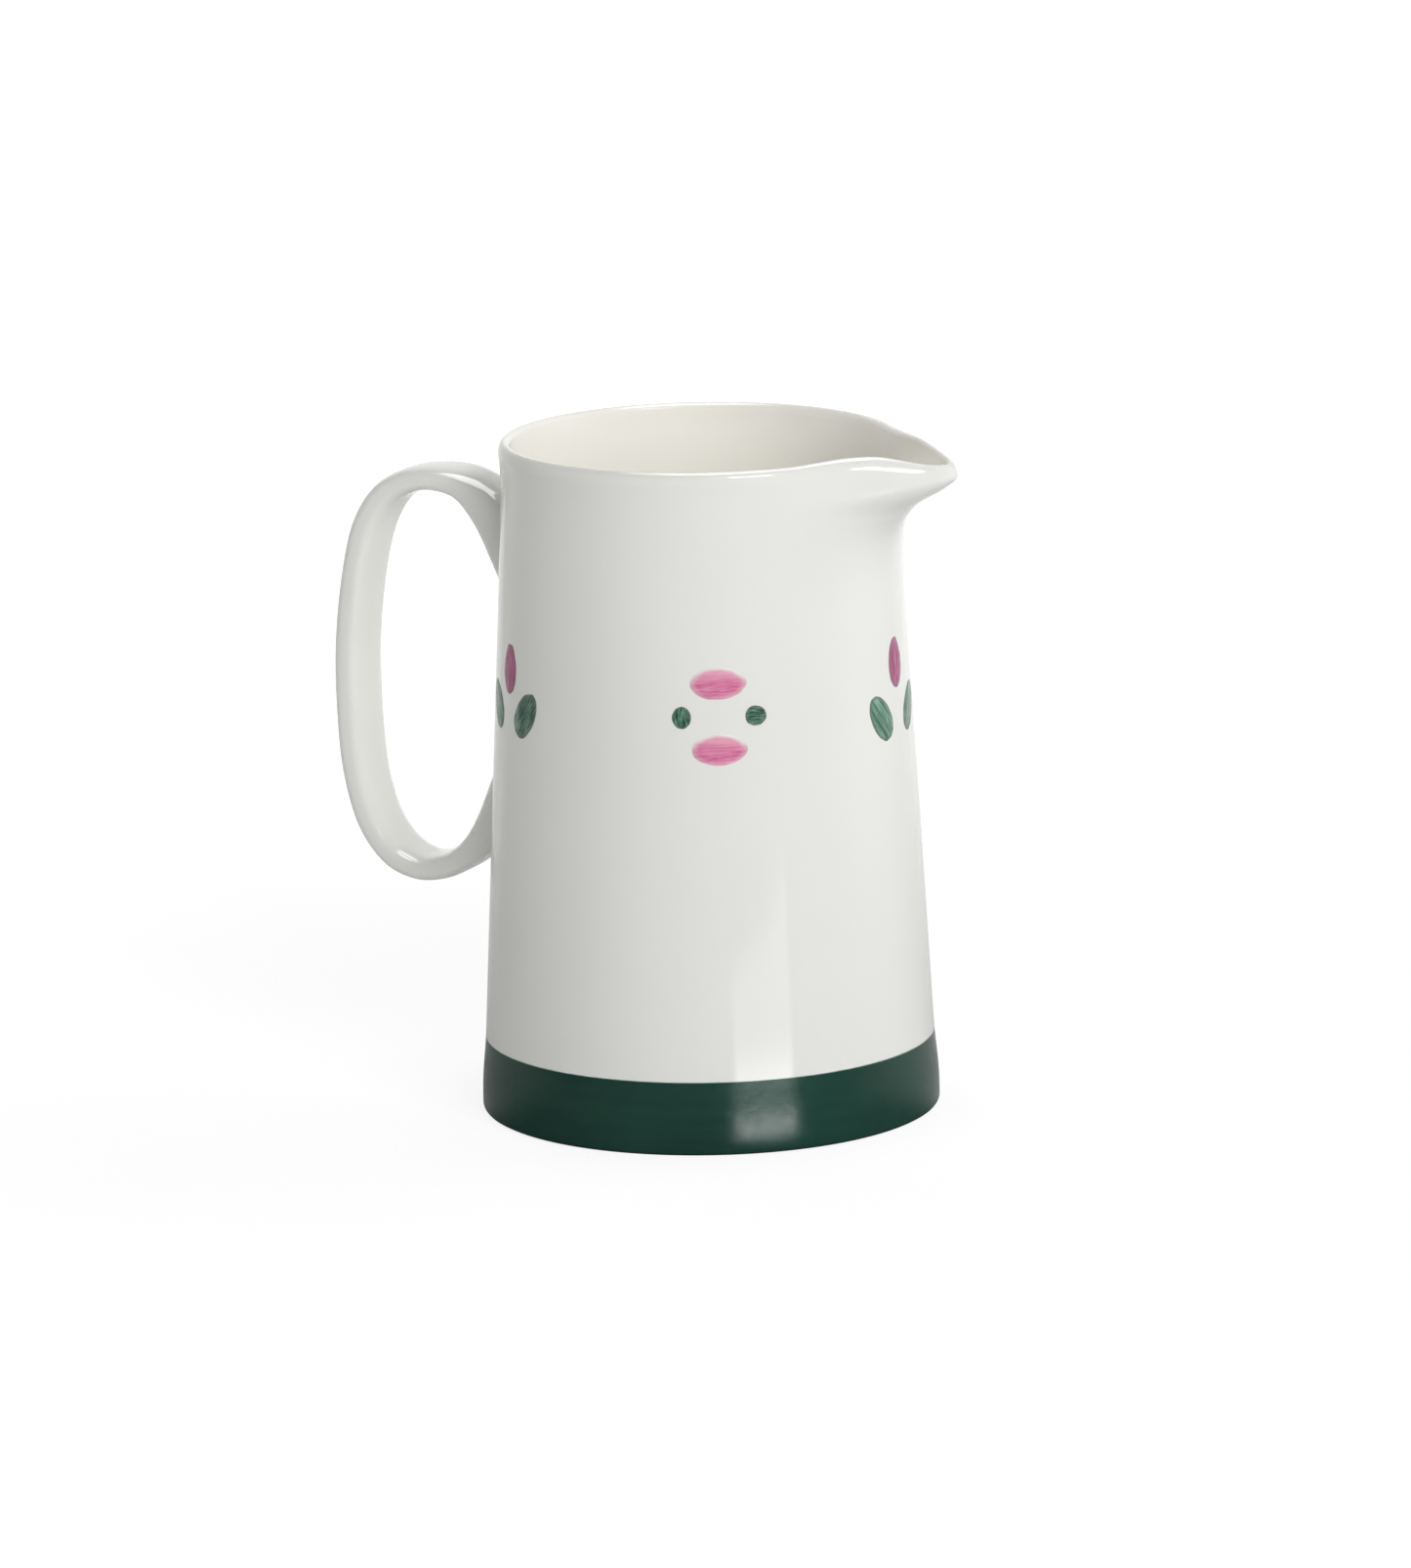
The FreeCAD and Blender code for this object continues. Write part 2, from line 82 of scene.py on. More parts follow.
class Field:
    """A number in a node tree, which Python's own signs combine into Math nodes."""

    def __init__(self, tree: bpy.types.NodeTree, socket: bpy.types.NodeSocket) -> None:
        """Holds one output socket.

        Args:
            tree: The tree that the socket belongs to.
            socket: The output that carries the number.
        """
        self.tree = tree
        self.socket = socket

    def math(self, operation: str, *others: Number) -> "Field":
        """Adds a Math node with this number as its first input.

        Args:
            operation: The Math node's operation.
            others: Its other inputs.

        Returns:
            The node's output.
        """
        node = self.tree.nodes.new("ShaderNodeMath")
        node.operation = operation
        for index, value in enumerate((self,) + others):
            feed(self.tree, value, node.inputs[index])
        return Field(self.tree, node.outputs[0])

    def __add__(self, other: Number) -> "Field":
        """Sum."""
        return self.math("ADD", other)

    def __radd__(self, other: float) -> "Field":
        """Sum with a plain number first."""
        return self.math("ADD", other)

    def __sub__(self, other: Number) -> "Field":
        """Difference."""
        return self.math("SUBTRACT", other)

    def __rsub__(self, other: float) -> "Field":
        """A plain number less this one."""
        return (self * -1.0).math("ADD", other)

    def __mul__(self, other: Number) -> "Field":
        """Product."""
        return self.math("MULTIPLY", other)

    def __truediv__(self, other: Number) -> "Field":
        """Quotient."""
        return self.math("DIVIDE", other)

    def __rtruediv__(self, other: float) -> "Field":
        """A plain number over this one."""
        return self.math("POWER", -1.0) * other

    def smooth(self, low: Number, high: Number) -> "Field":
        """Eases from 0 where this number is low to 1 where it is high."""
        return self.ranged(low, high, 0.0, 1.0, "SMOOTHSTEP")

    def ranged(
        self,
        low: Number,
        high: Number,
        to_low: float = 0.0,
        to_high: float = 1.0,
        kind: str = "LINEAR",
    ) -> "Field":
        """Maps a range onto another, held at its ends.

        Args:
            low: Where this number gives to_low.
            high: Where this number gives to_high.
            to_low: What comes out at low.
            to_high: What comes out at high.
            kind: The Map Range node's interpolation.

        Returns:
            The mapped number.
        """
        node = self.tree.nodes.new("ShaderNodeMapRange")
        node.interpolation_type = kind
        node.clamp = True
        for index, value in enumerate((self, low, high, to_low, to_high)):
            feed(self.tree, value, node.inputs[index])
        return Field(self.tree, node.outputs[0])

    def curve(self, points: Sequence[Point2]) -> "Field":
        """Reads a smooth curve through points whose two numbers both lie from 0 to 1.

        Args:
            points: The curve's points, from left to right.

        Returns:
            The curve's height at this number.
        """
        node = self.tree.nodes.new("ShaderNodeFloatCurve")
        line = node.mapping.curves[0]
        for _ in range(len(points) - 2):
            line.points.new(0.5, 0.5)
        for knot, place in zip(line.points, points):
            knot.location = place
            knot.handle_type = "AUTO_CLAMPED"
        node.mapping.update()
        feed(self.tree, self, node.inputs["Value"])
        return Field(self.tree, node.outputs[0])


def feed(
    tree: bpy.types.NodeTree,
    value: Union[Field, bpy.types.NodeSocket, float, Sequence[float]],
    socket: bpy.types.NodeSocket,
) -> None:
    """Links a value to a socket, or writes it there if it is a plain number.

    Args:
        tree: The tree that both belong to.
        value: What goes in.
        socket: The input that takes it.
    """
    if isinstance(value, Field):
        tree.links.new(value.socket, socket)
    elif isinstance(value, bpy.types.NodeSocket):
        tree.links.new(value, socket)
    else:
        socket.default_value = value


def add_node(tree: bpy.types.NodeTree, kind: str, **inputs: object) -> bpy.types.Node:
    """Adds a node and fills the inputs that are given by name.

    Args:
        tree: The tree that takes the node.
        kind: The node's type name.
        inputs: Values or links for its inputs; a space in a name is written as _.

    Returns:
        The new node.
    """
    node = tree.nodes.new(kind)
    for name, value in inputs.items():
        feed(tree, value, node.inputs[name.replace("_", " ")])
    return node


class ShapeTree:
    """A Geometry Nodes tree with named inputs for its sizes."""

    def __init__(self, name: str) -> None:
        """Starts an empty tree.

        Args:
            name: The tree's name.
        """
        self.tree = bpy.data.node_groups.new(name, "GeometryNodeTree")
        self.tree.interface.new_socket(
            "Geometry", in_out="INPUT", socket_type="NodeSocketGeometry"
        )
        self.tree.interface.new_socket(
            "Geometry", in_out="OUTPUT", socket_type="NodeSocketGeometry"
        )
        self.entry = self.tree.nodes.new("NodeGroupInput")
        self.exit = self.tree.nodes.new("NodeGroupOutput")

    def size(self, name: str, kind: str = "NodeSocketFloat") -> Field:
        """Adds a named input.

        Args:
            name: The input's name.
            kind: Its socket type.

        Returns:
            The input as a number for the tree's formulas.
        """
        self.tree.interface.new_socket(name, in_out="INPUT", socket_type=kind)
        return Field(self.tree, self.entry.outputs[name])

    def node(self, kind: str, **inputs: object) -> bpy.types.Node:
        """Adds a node to the tree, with inputs by name."""
        return add_node(self.tree, kind, **inputs)

    def attribute(self, name: str) -> Field:
        """Reads a named number of the geometry.

        Args:
            name: The attribute's name.

        Returns:
            The number at each point.
        """
        node = self.tree.nodes.new("GeometryNodeInputNamedAttribute")
        node.data_type = "FLOAT"
        node.inputs["Name"].default_value = name
        return Field(self.tree, node.outputs["Attribute"])

    def store(
        self, geometry: bpy.types.NodeSocket, name: str, value: Field
    ) -> bpy.types.NodeSocket:
        """Stores a named number on each point of a geometry.

        Args:
            geometry: The geometry that takes it.
            name: The attribute's name.
            value: The number.

        Returns:
            The geometry with the attribute.
        """
        node = self.tree.nodes.new("GeometryNodeStoreNamedAttribute")
        node.data_type = "FLOAT"
        node.domain = "POINT"
        node.inputs["Name"].default_value = name
        feed(self.tree, geometry, node.inputs["Geometry"])
        feed(self.tree, value, node.inputs["Value"])
        return node.outputs["Geometry"]

    def combine(
        self, x: Number, y: Number, z: Number
    ) -> bpy.types.NodeSocket:
        """A vector from three numbers."""
        return self.node("ShaderNodeCombineXYZ", X=x, Y=y, Z=z).outputs[0]

    def finish(self, geometry: bpy.types.NodeSocket, material: Field) -> None:
        """Ends the tree: real geometry, smooth faces and the finish.

        Args:
            geometry: What the tree has made.
            material: The input that holds the finish.
        """
        smooth = self.node("GeometryNodeSetShadeSmooth", Geometry=geometry)
        real = self.node(
            "GeometryNodeRealizeInstances", Geometry=smooth.outputs["Geometry"]
        )
        dressed = self.node(
            "GeometryNodeSetMaterial",
            Geometry=real.outputs["Geometry"],
            Material=material,
        )
        feed(self.tree, dressed.outputs["Geometry"], self.exit.inputs["Geometry"])


def polyline(name: str, rows: Sequence[Sequence[float]], names: Sequence[str]) -> bpy.types.Mesh:
    """Makes an open line of points that carry named numbers.

    Args:
        name: The mesh's name.
        rows: One row of numbers for each point.
        names: What each number of a row is called.

    Returns:
        The line as a mesh of edges, laid out along X.
    """
    mesh = bpy.data.meshes.new(name)
    places = [(index * MM, 0.0, 0.0) for index in range(len(rows))]
    edges = [(index, index + 1) for index in range(len(rows) - 1)]
    mesh.from_pydata(places, edges, [])
    for column, attribute in enumerate(names):
        layer = mesh.attributes.new(attribute, "FLOAT", "POINT")
        layer.data.foreach_set("value", [row[column] for row in rows])
    return mesh


def grow(
    name: str,
    base: bpy.types.Mesh,
    tree: ShapeTree,
    values: Dict[str, object],
) -> bpy.types.Object:
    """Runs a shape tree on a base mesh and keeps the plain mesh it makes.

    Args:
        name: The piece's name.
        base: The mesh that the tree starts from.
        tree: The tree.
        values: The tree's inputs by name.

    Returns:
        A plain mesh object at the origin, welded and with its faces outwards.
    """
    holder = bpy.data.objects.new(name + "_seed", base)
    bpy.context.scene.collection.objects.link(holder)
    modifier = holder.modifiers.new("shape", "NODES")
    modifier.node_group = tree.tree
    for item in tree.tree.interface.items_tree:
        if item.in_out == "INPUT" and item.name in values:
            modifier[item.identifier] = values[item.name]
    holder.update_tag()
    graph = bpy.context.evaluated_depsgraph_get()
    graph.update()
    mesh = bpy.data.meshes.new_from_object(holder.evaluated_get(graph))
    holder.modifiers.clear()
    bpy.data.objects.remove(holder)
    mesh.name = name
    weld_and_face_out(mesh)
    return place(name, mesh)


def weld_and_face_out(mesh: bpy.types.Mesh) -> None:
    """Merges doubled points, drops what has no area and turns every face outwards.

    Args:
        mesh: The closed mesh to mend.
    """
    shape = bmesh.new()
    shape.from_mesh(mesh)
    bmesh.ops.remove_doubles(shape, verts=shape.verts, dist=WELD_DISTANCE)
    bmesh.ops.dissolve_degenerate(shape, edges=shape.edges, dist=WELD_DISTANCE)
    bmesh.ops.recalc_face_normals(shape, faces=shape.faces)
    for face in shape.faces:
        face.smooth = True
    shape.to_mesh(mesh)
    shape.free()
    mesh.set_sharp_from_angle(angle=math.radians(SHARP_ANGLE))


def place(name: str, mesh: bpy.types.Mesh) -> bpy.types.Object:
    """Puts a mesh in the scene as an object at the origin.

    Args:
        name: The object's name.
        mesh: The mesh, whose points are already where they belong.

    Returns:
        The new object.
    """
    piece = bpy.data.objects.new(name, mesh)
    bpy.context.scene.collection.objects.link(piece)
    return piece


def settle(piece: bpy.types.Object, slot: Slot, *nodes: str) -> None:
    """Ties a finished piece to the frame.

    Args:
        piece: The piece.
        slot: The record's material slot that it takes its finish from.
        nodes: The frame's nodes that it stands for.
    """
    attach(piece, BODY)
    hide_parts(*nodes)
    log.info("%s: %d faces, slot %s", piece.name, len(piece.data.polygons), slot.value)


def arc(start: float, end: float, count: int) -> List[float]:
    """Evenly spaced numbers from start to end, both included."""
    return [start + (end - start) * index / (count - 1) for index in range(count)]


# ---------------------------------------------------------------------------- shader parts


class ShaderTree:
    """A material's node tree, with the Principled BSDF that its finish is written on."""

    def __init__(self, name: str) -> None:
        """Starts a material.

        Args:
            name: The material's name.
        """
        self.material = bpy.data.materials.new(name)
        self.material.use_nodes = True
        self.tree = self.material.node_tree
        self.shader = self.tree.nodes["Principled BSDF"]
        coordinates = self.tree.nodes.new("ShaderNodeTexCoord")
        self.place = coordinates.outputs["Object"]

    def node(self, kind: str, **inputs: object) -> bpy.types.Node:
        """Adds a node, with inputs by name."""
        return add_node(self.tree, kind, **inputs)

    def set(self, name: str, value: object) -> None:
        """Writes or links one input of the Principled BSDF."""
        feed(self.tree, value, self.shader.inputs[name])

    def height(self) -> Field:
        """The height above the table, in metres."""
        parts = self.node("ShaderNodeSeparateXYZ", Vector=self.place)
        return Field(self.tree, parts.outputs["Z"])

    def attribute(self, name: str) -> Field:
        """Reads a named number of the mesh.

        Args:
            name: The attribute's name.

        Returns:
            The number at each place on the mesh.
        """
        node = self.tree.nodes.new("ShaderNodeAttribute")
        node.attribute_name = name
        return Field(self.tree, node.outputs["Fac"])

    def group(self, tree: bpy.types.NodeTree, **inputs: object) -> bpy.types.Node:
        """Places a shared effect with its own values.

        Args:
            tree: The effect's node group.
            inputs: Values or links for its inputs; a space in a name is written as _.

        Returns:
            The group's node.
        """
        node = self.tree.nodes.new("ShaderNodeGroup")
        node.node_tree = tree
        for name, value in inputs.items():
            feed(self.tree, value, node.inputs[name.replace("_", " ")])
        return node

    def mix(self, share: Number, first: object, second: object) -> bpy.types.NodeSocket:
        """Mixes two colours.

        Args:
            share: How much of the second.
            first: A colour of three numbers, or a link to one.
            second: A colour of three numbers, or a link to one.

        Returns:
            The mixed colour's socket.
        """
        node = self.node("ShaderNodeMix")
        node.data_type = "RGBA"
        feed(self.tree, share, node.inputs["Factor"])
        for value, socket in ((first, node.inputs["A"]), (second, node.inputs["B"])):
            if isinstance(value, tuple):
                value = value + (1.0,)
            feed(self.tree, value, socket)
        return node.outputs["Result"]

    def dress(
        self, colour: bpy.types.NodeSocket, roughness: Field, relief: Field, depth: float
    ) -> bpy.types.Material:
        """Writes a finish on the shader.

        Args:
            colour: The colour over the surface.
            roughness: The roughness over the surface.
            relief: The height of the surface's marks, from 0 to 1.
            depth: How high the marks stand, in metres.

        Returns:
            The finished material.
        """
        self.set("Base Color", colour)
        self.set("Roughness", roughness)
        bump = self.node("ShaderNodeBump", Height=relief)
        bump.inputs["Distance"].default_value = depth
        self.set("Normal", bump.outputs["Normal"])
        return self.material


def screen_colour(red: int, green: int, blue: int) -> Colour:
    """The light that a colour on a screen stands for.

    Args:
        red: The screen's red, from 0 to 255.
        green: Its green.
        blue: Its blue.

    Returns:
        The colour in linear light.
    """
    tones = []
    for level in (red, green, blue):
        share = level / 255.0
        if share <= 0.04045:
            tones.append(share / 12.92)
        else:
            tones.append(((share + 0.055) / 1.055) ** 2.4)
    return tones[0], tones[1], tones[2]


def new_group(
    name: str, inputs: Sequence[Tuple[str, str, object]], outputs: Sequence[Tuple[str, str]]
) -> Tuple[bpy.types.NodeTree, bpy.types.Node, bpy.types.Node]:
    """Starts a shader node group.

    Args:
        name: The group's name.
        inputs: Each input's name, socket type and first value.
        outputs: Each output's name and socket type.

    Returns:
        The group's tree, its input node and its output node.
    """
    tree = bpy.data.node_groups.new(name, "ShaderNodeTree")
    for label, kind, value in inputs:
        socket = tree.interface.new_socket(label, in_out="INPUT", socket_type=kind)
        if value is not None:
            socket.default_value = value
    for label, kind in outputs:
        tree.interface.new_socket(label, in_out="OUTPUT", socket_type=kind)
    return tree, tree.nodes.new("NodeGroupInput"), tree.nodes.new("NodeGroupOutput")


def noise(
    tree: bpy.types.NodeTree,
    vector: bpy.types.NodeSocket,
    scale: Number,
    detail: float = 2.0,
    roughness: float = 0.5,
) -> Field:
    """Adds a noise.

    Args:
        tree: The tree that takes it.
        vector: Where it is read.
        scale: How fine it is.
        detail: How many finer layers it has.
        roughness: How strong the finer layers are.

    Returns:
        The noise's height from 0 to 1.
    """
    node = add_node(tree, "ShaderNodeTexNoise", Vector=vector, Scale=scale)
    node.inputs["Detail"].default_value = detail
    node.inputs["Roughness"].default_value = roughness
    return Field(tree, node.outputs["Fac"])


def glaze_surface_group() -> bpy.types.NodeTree:
    """The fired glaze's own surface: a slow tone drift, faint ripple, and rare pin specks.

    Returns:
        A group that gives Tone, Ripple and Speck.
    """
    tree, entry, leave = new_group(
        "glaze_surface",
        [
            ("Vector", "NodeSocketVector", None),
            ("Drift Scale", "NodeSocketFloat", 18.0),
            ("Ripple Scale", "NodeSocketFloat", 160.0),
            ("Speck Scale", "NodeSocketFloat", 90.0),
            ("Speck Size", "NodeSocketFloat", 0.035),
        ],
        [
            ("Tone", "NodeSocketFloat"),
            ("Ripple", "NodeSocketFloat"),
            ("Speck", "NodeSocketFloat"),
        ],
    )
    fine_factor = 5.0
    slow_share, fine_share = 0.8, 0.2
    rare_above = 0.93
    vector = entry.outputs["Vector"]
    ripple_scale = Field(tree, entry.outputs["Ripple Scale"])
    tone = noise(tree, vector, Field(tree, entry.outputs["Drift Scale"]), 3.0)
    slow = noise(tree, vector, ripple_scale, 1.0)
    fine = noise(tree, vector, ripple_scale * fine_factor, 2.0)
    cells = add_node(tree, "ShaderNodeTexVoronoi", Vector=vector)
    feed(tree, Field(tree, entry.outputs["Speck Scale"]), cells.inputs["Scale"])
    distance = Field(tree, cells.outputs["Distance"])
    parts = add_node(tree, "ShaderNodeSeparateColor", Color=cells.outputs["Color"])
    rare = Field(tree, parts.outputs[0]).math("GREATER_THAN", rare_above)
    size = Field(tree, entry.outputs["Speck Size"]) * Field(tree, parts.outputs[1])
    speck = distance.math("LESS_THAN", size) * rare
    feed(tree, tone, leave.inputs["Tone"])
    feed(tree, slow * slow_share + fine * fine_share, leave.inputs["Ripple"])
    feed(tree, speck, leave.inputs["Speck"])
    return tree


def brush_stroke_group() -> bpy.types.NodeTree:
    """The marks that one pull of a loaded brush leaves along a stroke.

    Along runs from -1 to 1 down the stroke's length, and Across from -1 to 1 over its width.

    Returns:
        A group that gives Streak, Edge, Pool and Rim, each from 0 to 1.
    """
    tree, entry, leave = new_group(
        "brush_stroke",
        [
            ("Along", "NodeSocketFloat", 0.0),
            ("Across", "NodeSocketFloat", 0.0),
            ("Seed", "NodeSocketFloat", 0.0),
            ("Bristles", "NodeSocketFloat", 7.0),
        ],
        [
            ("Streak", "NodeSocketFloat"),
            ("Edge", "NodeSocketFloat"),
            ("Pool", "NodeSocketFloat"),
            ("Rim", "NodeSocketFloat"),
        ],
    )
    streak_along, streak_across, streak_scale = 0.7, 0.5, 1.6
    pool_scale, pool_seed = 1.3, 7.0
    wander_scale, wander_reach = 3.0, 0.12
    streak_span, edge_span, rim_span = (0.36, 0.64), (0.80, 0.97), (0.70, 1.02)
    along = Field(tree, entry.outputs["Along"])
    across = Field(tree, entry.outputs["Across"])
    seed = Field(tree, entry.outputs["Seed"])
    bristles = Field(tree, entry.outputs["Bristles"])
    drawn = add_node(tree, "ShaderNodeCombineXYZ")
    feed(tree, along * streak_along, drawn.inputs["X"])
    feed(tree, across * bristles * streak_across, drawn.inputs["Y"])
    feed(tree, seed, drawn.inputs["Z"])
    streak = noise(tree, drawn.outputs[0], streak_scale, 3.0, 0.6)
    blot = add_node(tree, "ShaderNodeCombineXYZ")
    feed(tree, along, blot.inputs["X"])
    feed(tree, across, blot.inputs["Y"])
    feed(tree, seed + pool_seed, blot.inputs["Z"])
    pool = noise(tree, blot.outputs[0], pool_scale, 2.0)
    reach = (along * along + across * across).math("SQRT")
    wander = (noise(tree, blot.outputs[0], wander_scale, 2.0) - 0.5) * wander_reach
    outline = reach + wander
    feed(tree, streak.ranged(*streak_span), leave.inputs["Streak"])
    feed(tree, outline.smooth(*edge_span), leave.inputs["Edge"])
    feed(tree, outline.smooth(*rim_span), leave.inputs["Rim"])
    feed(tree, pool.ranged(*NOISE_SPAN), leave.inputs["Pool"])
    return tree


# ---------------------------------------------------------------------------- finishes


@dataclass(frozen=True)
class PorcelainGlaze:
    """A clear gloss over white porcelain, with a faint drift of tone and ripple."""

    name: str
    colour: Colour
    shade: Colour
    roughness: float = 0.06
    roughness_span: Tuple[float, float] = (0.85, 1.15)
    ripple_depth: float = 0.00002
    speck_colour: Colour = screen_colour(120, 112, 104)
    speck_share: float = 0.7
    # Painted light: inside is the colour that the coat turns to inside the rim. The lining's ivory
    # is its own tint, painted lighter than the outer white to stand in for the light that fills
    # the jug.
    inside: Optional[Colour] = None
    inside_span: Tuple[float, float] = (0.30, 0.62)
    fringe: Optional[Colour] = None
    fringe_height: float = 13.0 * MM
    fringe_share: float = 0.6
    fringe_stretch: float = 0.3
    fringe_grain: float = 420.0
    fringe_ragged: float = 0.24 * MM
    fringe_sink: float = 0.06 * MM
    fringe_soft: Tuple[float, float] = (0.05 * MM, 0.14 * MM)

    def build(self, surface: bpy.types.NodeTree) -> bpy.types.Material:
        """Makes the material.

        Args:
            surface: The shared glaze surface group.

        Returns:
            The finished material.
        """
        shade = ShaderTree(self.name)
        marks = shade.group(surface, Vector=shade.place)
        tone = Field(shade.tree, marks.outputs["Tone"]).ranged(*NOISE_SPAN)
        colour = shade.mix(tone, self.shade, self.colour)
        if self.fringe is not None:
            colour = self.add_fringe(shade, colour)
        # Painted light: inside the rim the coat turns to the lining's ivory, which is painted
        # lighter than the outer white.
        if self.inside is not None:
            inward_painted_light = shade.attribute("share").smooth(*self.inside_span)
            colour = shade.mix(inward_painted_light, colour, self.inside)
        speck = Field(shade.tree, marks.outputs["Speck"])
        colour = shade.mix(speck * self.speck_share, colour, self.speck_colour)
        ripple = Field(shade.tree, marks.outputs["Ripple"])
        low, high = self.roughness_span
        roughness = ripple.ranged(*NOISE_SPAN, self.roughness * low, self.roughness * high)
        return shade.dress(colour, roughness, ripple, self.ripple_depth)

    def add_fringe(self, shade: ShaderTree, colour: bpy.types.NodeSocket) -> bpy.types.NodeSocket:
        """Lets the band's pigment bleed a little way up into the glaze.

        Args:
            shade: The material's tree.
            colour: The glaze's colour so far.

        Returns:
            The colour with the bleed along the band.
        """
        stretch = shade.node("ShaderNodeMapping", Vector=shade.place)
        stretch.inputs["Scale"].default_value = (1.0, 1.0, self.fringe_stretch)
        ragged = noise(shade.tree, stretch.outputs[0], self.fringe_grain, 3.0)
        top = ragged * self.fringe_ragged + (self.fringe_height - self.fringe_sink)
        below, above = self.fringe_soft
        bleed = 1.0 - shade.height().smooth(top - below, top + above)
        return shade.mix(bleed * self.fringe_share, colour, self.fringe)


@dataclass(frozen=True)
class BandGlaze:
    """A dark satin pigment band, brushed on in turns, a little mottled where it shines."""

    name: str
    colour: Colour
    deep: Colour
    fringe: Colour
    top: float
    roughness: float = 0.2
    roughness_span: Tuple[float, float] = (0.8, 1.3)
    ripple_depth: float = 0.00003
    turn_stretch: float = 9.0
    turn_scale: float = 60.0
    tone_span: Tuple[float, float] = (0.35, 0.65)
    tone_share: float = 0.6
    turn_share: float = 0.4
    edge_grain: float = 700.0
    edge_reach: float = 0.25 * MM
    edge_soft: Tuple[float, float] = (0.1 * MM, 0.2 * MM)
    edge_share: float = 0.45

    def build(self, surface: bpy.types.NodeTree) -> bpy.types.Material:
        """Makes the material.

        Args:
            surface: The shared glaze surface group.

        Returns:
            The finished material.
        """
        shade = ShaderTree(self.name)
        marks = shade.group(surface, Vector=shade.place, Ripple_Scale=420.0, Drift_Scale=45.0)
        tone = Field(shade.tree, marks.outputs["Tone"]).ranged(*self.tone_span)
        stretch = shade.node("ShaderNodeMapping", Vector=shade.place)
        stretch.inputs["Scale"].default_value = (1.0, 1.0, self.turn_stretch)
        turns = noise(shade.tree, stretch.outputs[0], self.turn_scale, 4.0).ranged(*NOISE_SPAN)
        mottle = tone * self.tone_share + turns * self.turn_share
        colour = shade.mix(mottle, self.deep, self.colour)
        ragged = noise(shade.tree, shade.place, self.edge_grain, 2.0)
        edge = shade.height() + ragged * self.edge_reach
        below, above = self.edge_soft
        thin = edge.smooth(self.top - below, self.top + above) * self.edge_share
        colour = shade.mix(thin, colour, self.fringe)
        ripple = Field(shade.tree, marks.outputs["Ripple"])
        low, high = self.roughness_span
        roughness = ripple.ranged(*NOISE_SPAN, self.roughness * low, self.roughness * high)
        return shade.dress(colour, roughness, ripple, self.ripple_depth)


@dataclass(frozen=True)
class BiscuitClay:
    """Bare fired clay under the foot: chalky, with a fine tooth and a few iron specks."""

    name: str
    colour: Colour
    shade: Colour
    roughness_span: Tuple[float, float] = (0.75, 0.92)
    tooth_depth: float = 0.00008
    speck_colour: Colour = screen_colour(140, 120, 100)
    speck_share: float = 0.5

    def build(self, surface: bpy.types.NodeTree) -> bpy.types.Material:
        """Makes the material.

        Args:
            surface: The shared glaze surface group.

        Returns:
            The finished material.
        """
        shade = ShaderTree(self.name)
        marks = shade.group(
            surface,
            Vector=shade.place,
            Ripple_Scale=900.0,
            Drift_Scale=60.0,
            Speck_Scale=500.0,
            Speck_Size=0.12,
        )
        tone = Field(shade.tree, marks.outputs["Tone"]).ranged(*NOISE_SPAN)
        speck = Field(shade.tree, marks.outputs["Speck"])
        colour = shade.mix(tone, self.shade, self.colour)
        colour = shade.mix(speck * self.speck_share, colour, self.speck_colour)
        ripple = Field(shade.tree, marks.outputs["Ripple"])
        roughness = ripple.ranged(*NOISE_SPAN, *self.roughness_span)
        return shade.dress(colour, roughness, ripple, self.tooth_depth)


@dataclass(frozen=True)
class StrokePaint:
    """Brushed colour under the glaze, with its streaks, its pale centre and its edge line."""

    name: str
    colour: Colour
    streak: Colour
    pale: Colour
    edge: Colour
    streak_share: float = 0.7
    pale_share: float = 0.5
    edge_share: float = 0.6
    upper_pale: float = 0.0
    fade: float = 0.12
    glaze: Colour = (0.78, 0.78, 0.75)
    bristles: float = 9.0
    load_share: float = 0.7
    upper_span: Tuple[float, float] = (-0.15, 0.7)
    upper_thin: float = 0.6
    roughness: float = 0.14
    streak_roughness: float = 1.5
    streak_depth: float = 0.00002
    specular: float = 0.3

    def build(self, brush: bpy.types.NodeTree) -> bpy.types.Material:
        """Makes the material.

        Args:
            brush: The shared brush stroke group.

        Returns:
            The finished material.
        """
        shade = ShaderTree(self.name)
        marks = shade.group(
            brush,
            Along=shade.attribute("stroke_along"),
            Across=shade.attribute("stroke_across"),
            Seed=shade.attribute("stroke_seed"),
            Bristles=self.bristles,
        )
        streak = Field(shade.tree, marks.outputs["Streak"])
        pool = Field(shade.tree, marks.outputs["Pool"])
        edge = Field(shade.tree, marks.outputs["Edge"])
        upper = shade.attribute("stroke_across").smooth(*self.upper_span)
        load = shade.attribute("stroke_load")
        dark = streak * self.streak_share + load * self.load_share
        dark = dark * (1.0 - upper * self.upper_pale)
        colour = shade.mix(dark.math("MINIMUM", 1.0), self.colour, self.streak)
        thin = (1.0 - streak) * pool * self.pale_share
        thin = thin + upper * self.upper_pale * self.upper_thin
        colour = shade.mix(thin.math("MINIMUM", 1.0), colour, self.pale)
        colour = shade.mix(edge * self.edge_share, colour, self.edge)
        soft = Field(shade.tree, marks.outputs["Rim"]) * (upper * self.upper_pale + self.fade)
        colour = shade.mix(soft.math("MINIMUM", 1.0), colour, self.glaze)
        shade.set("Specular IOR Level", self.specular)
        rough = self.roughness
        roughness = streak.ranged(0.0, 1.0, rough, rough * self.streak_roughness)
        return shade.dress(colour, roughness, streak, self.streak_depth)


# ---------------------------------------------------------------------------- the pot


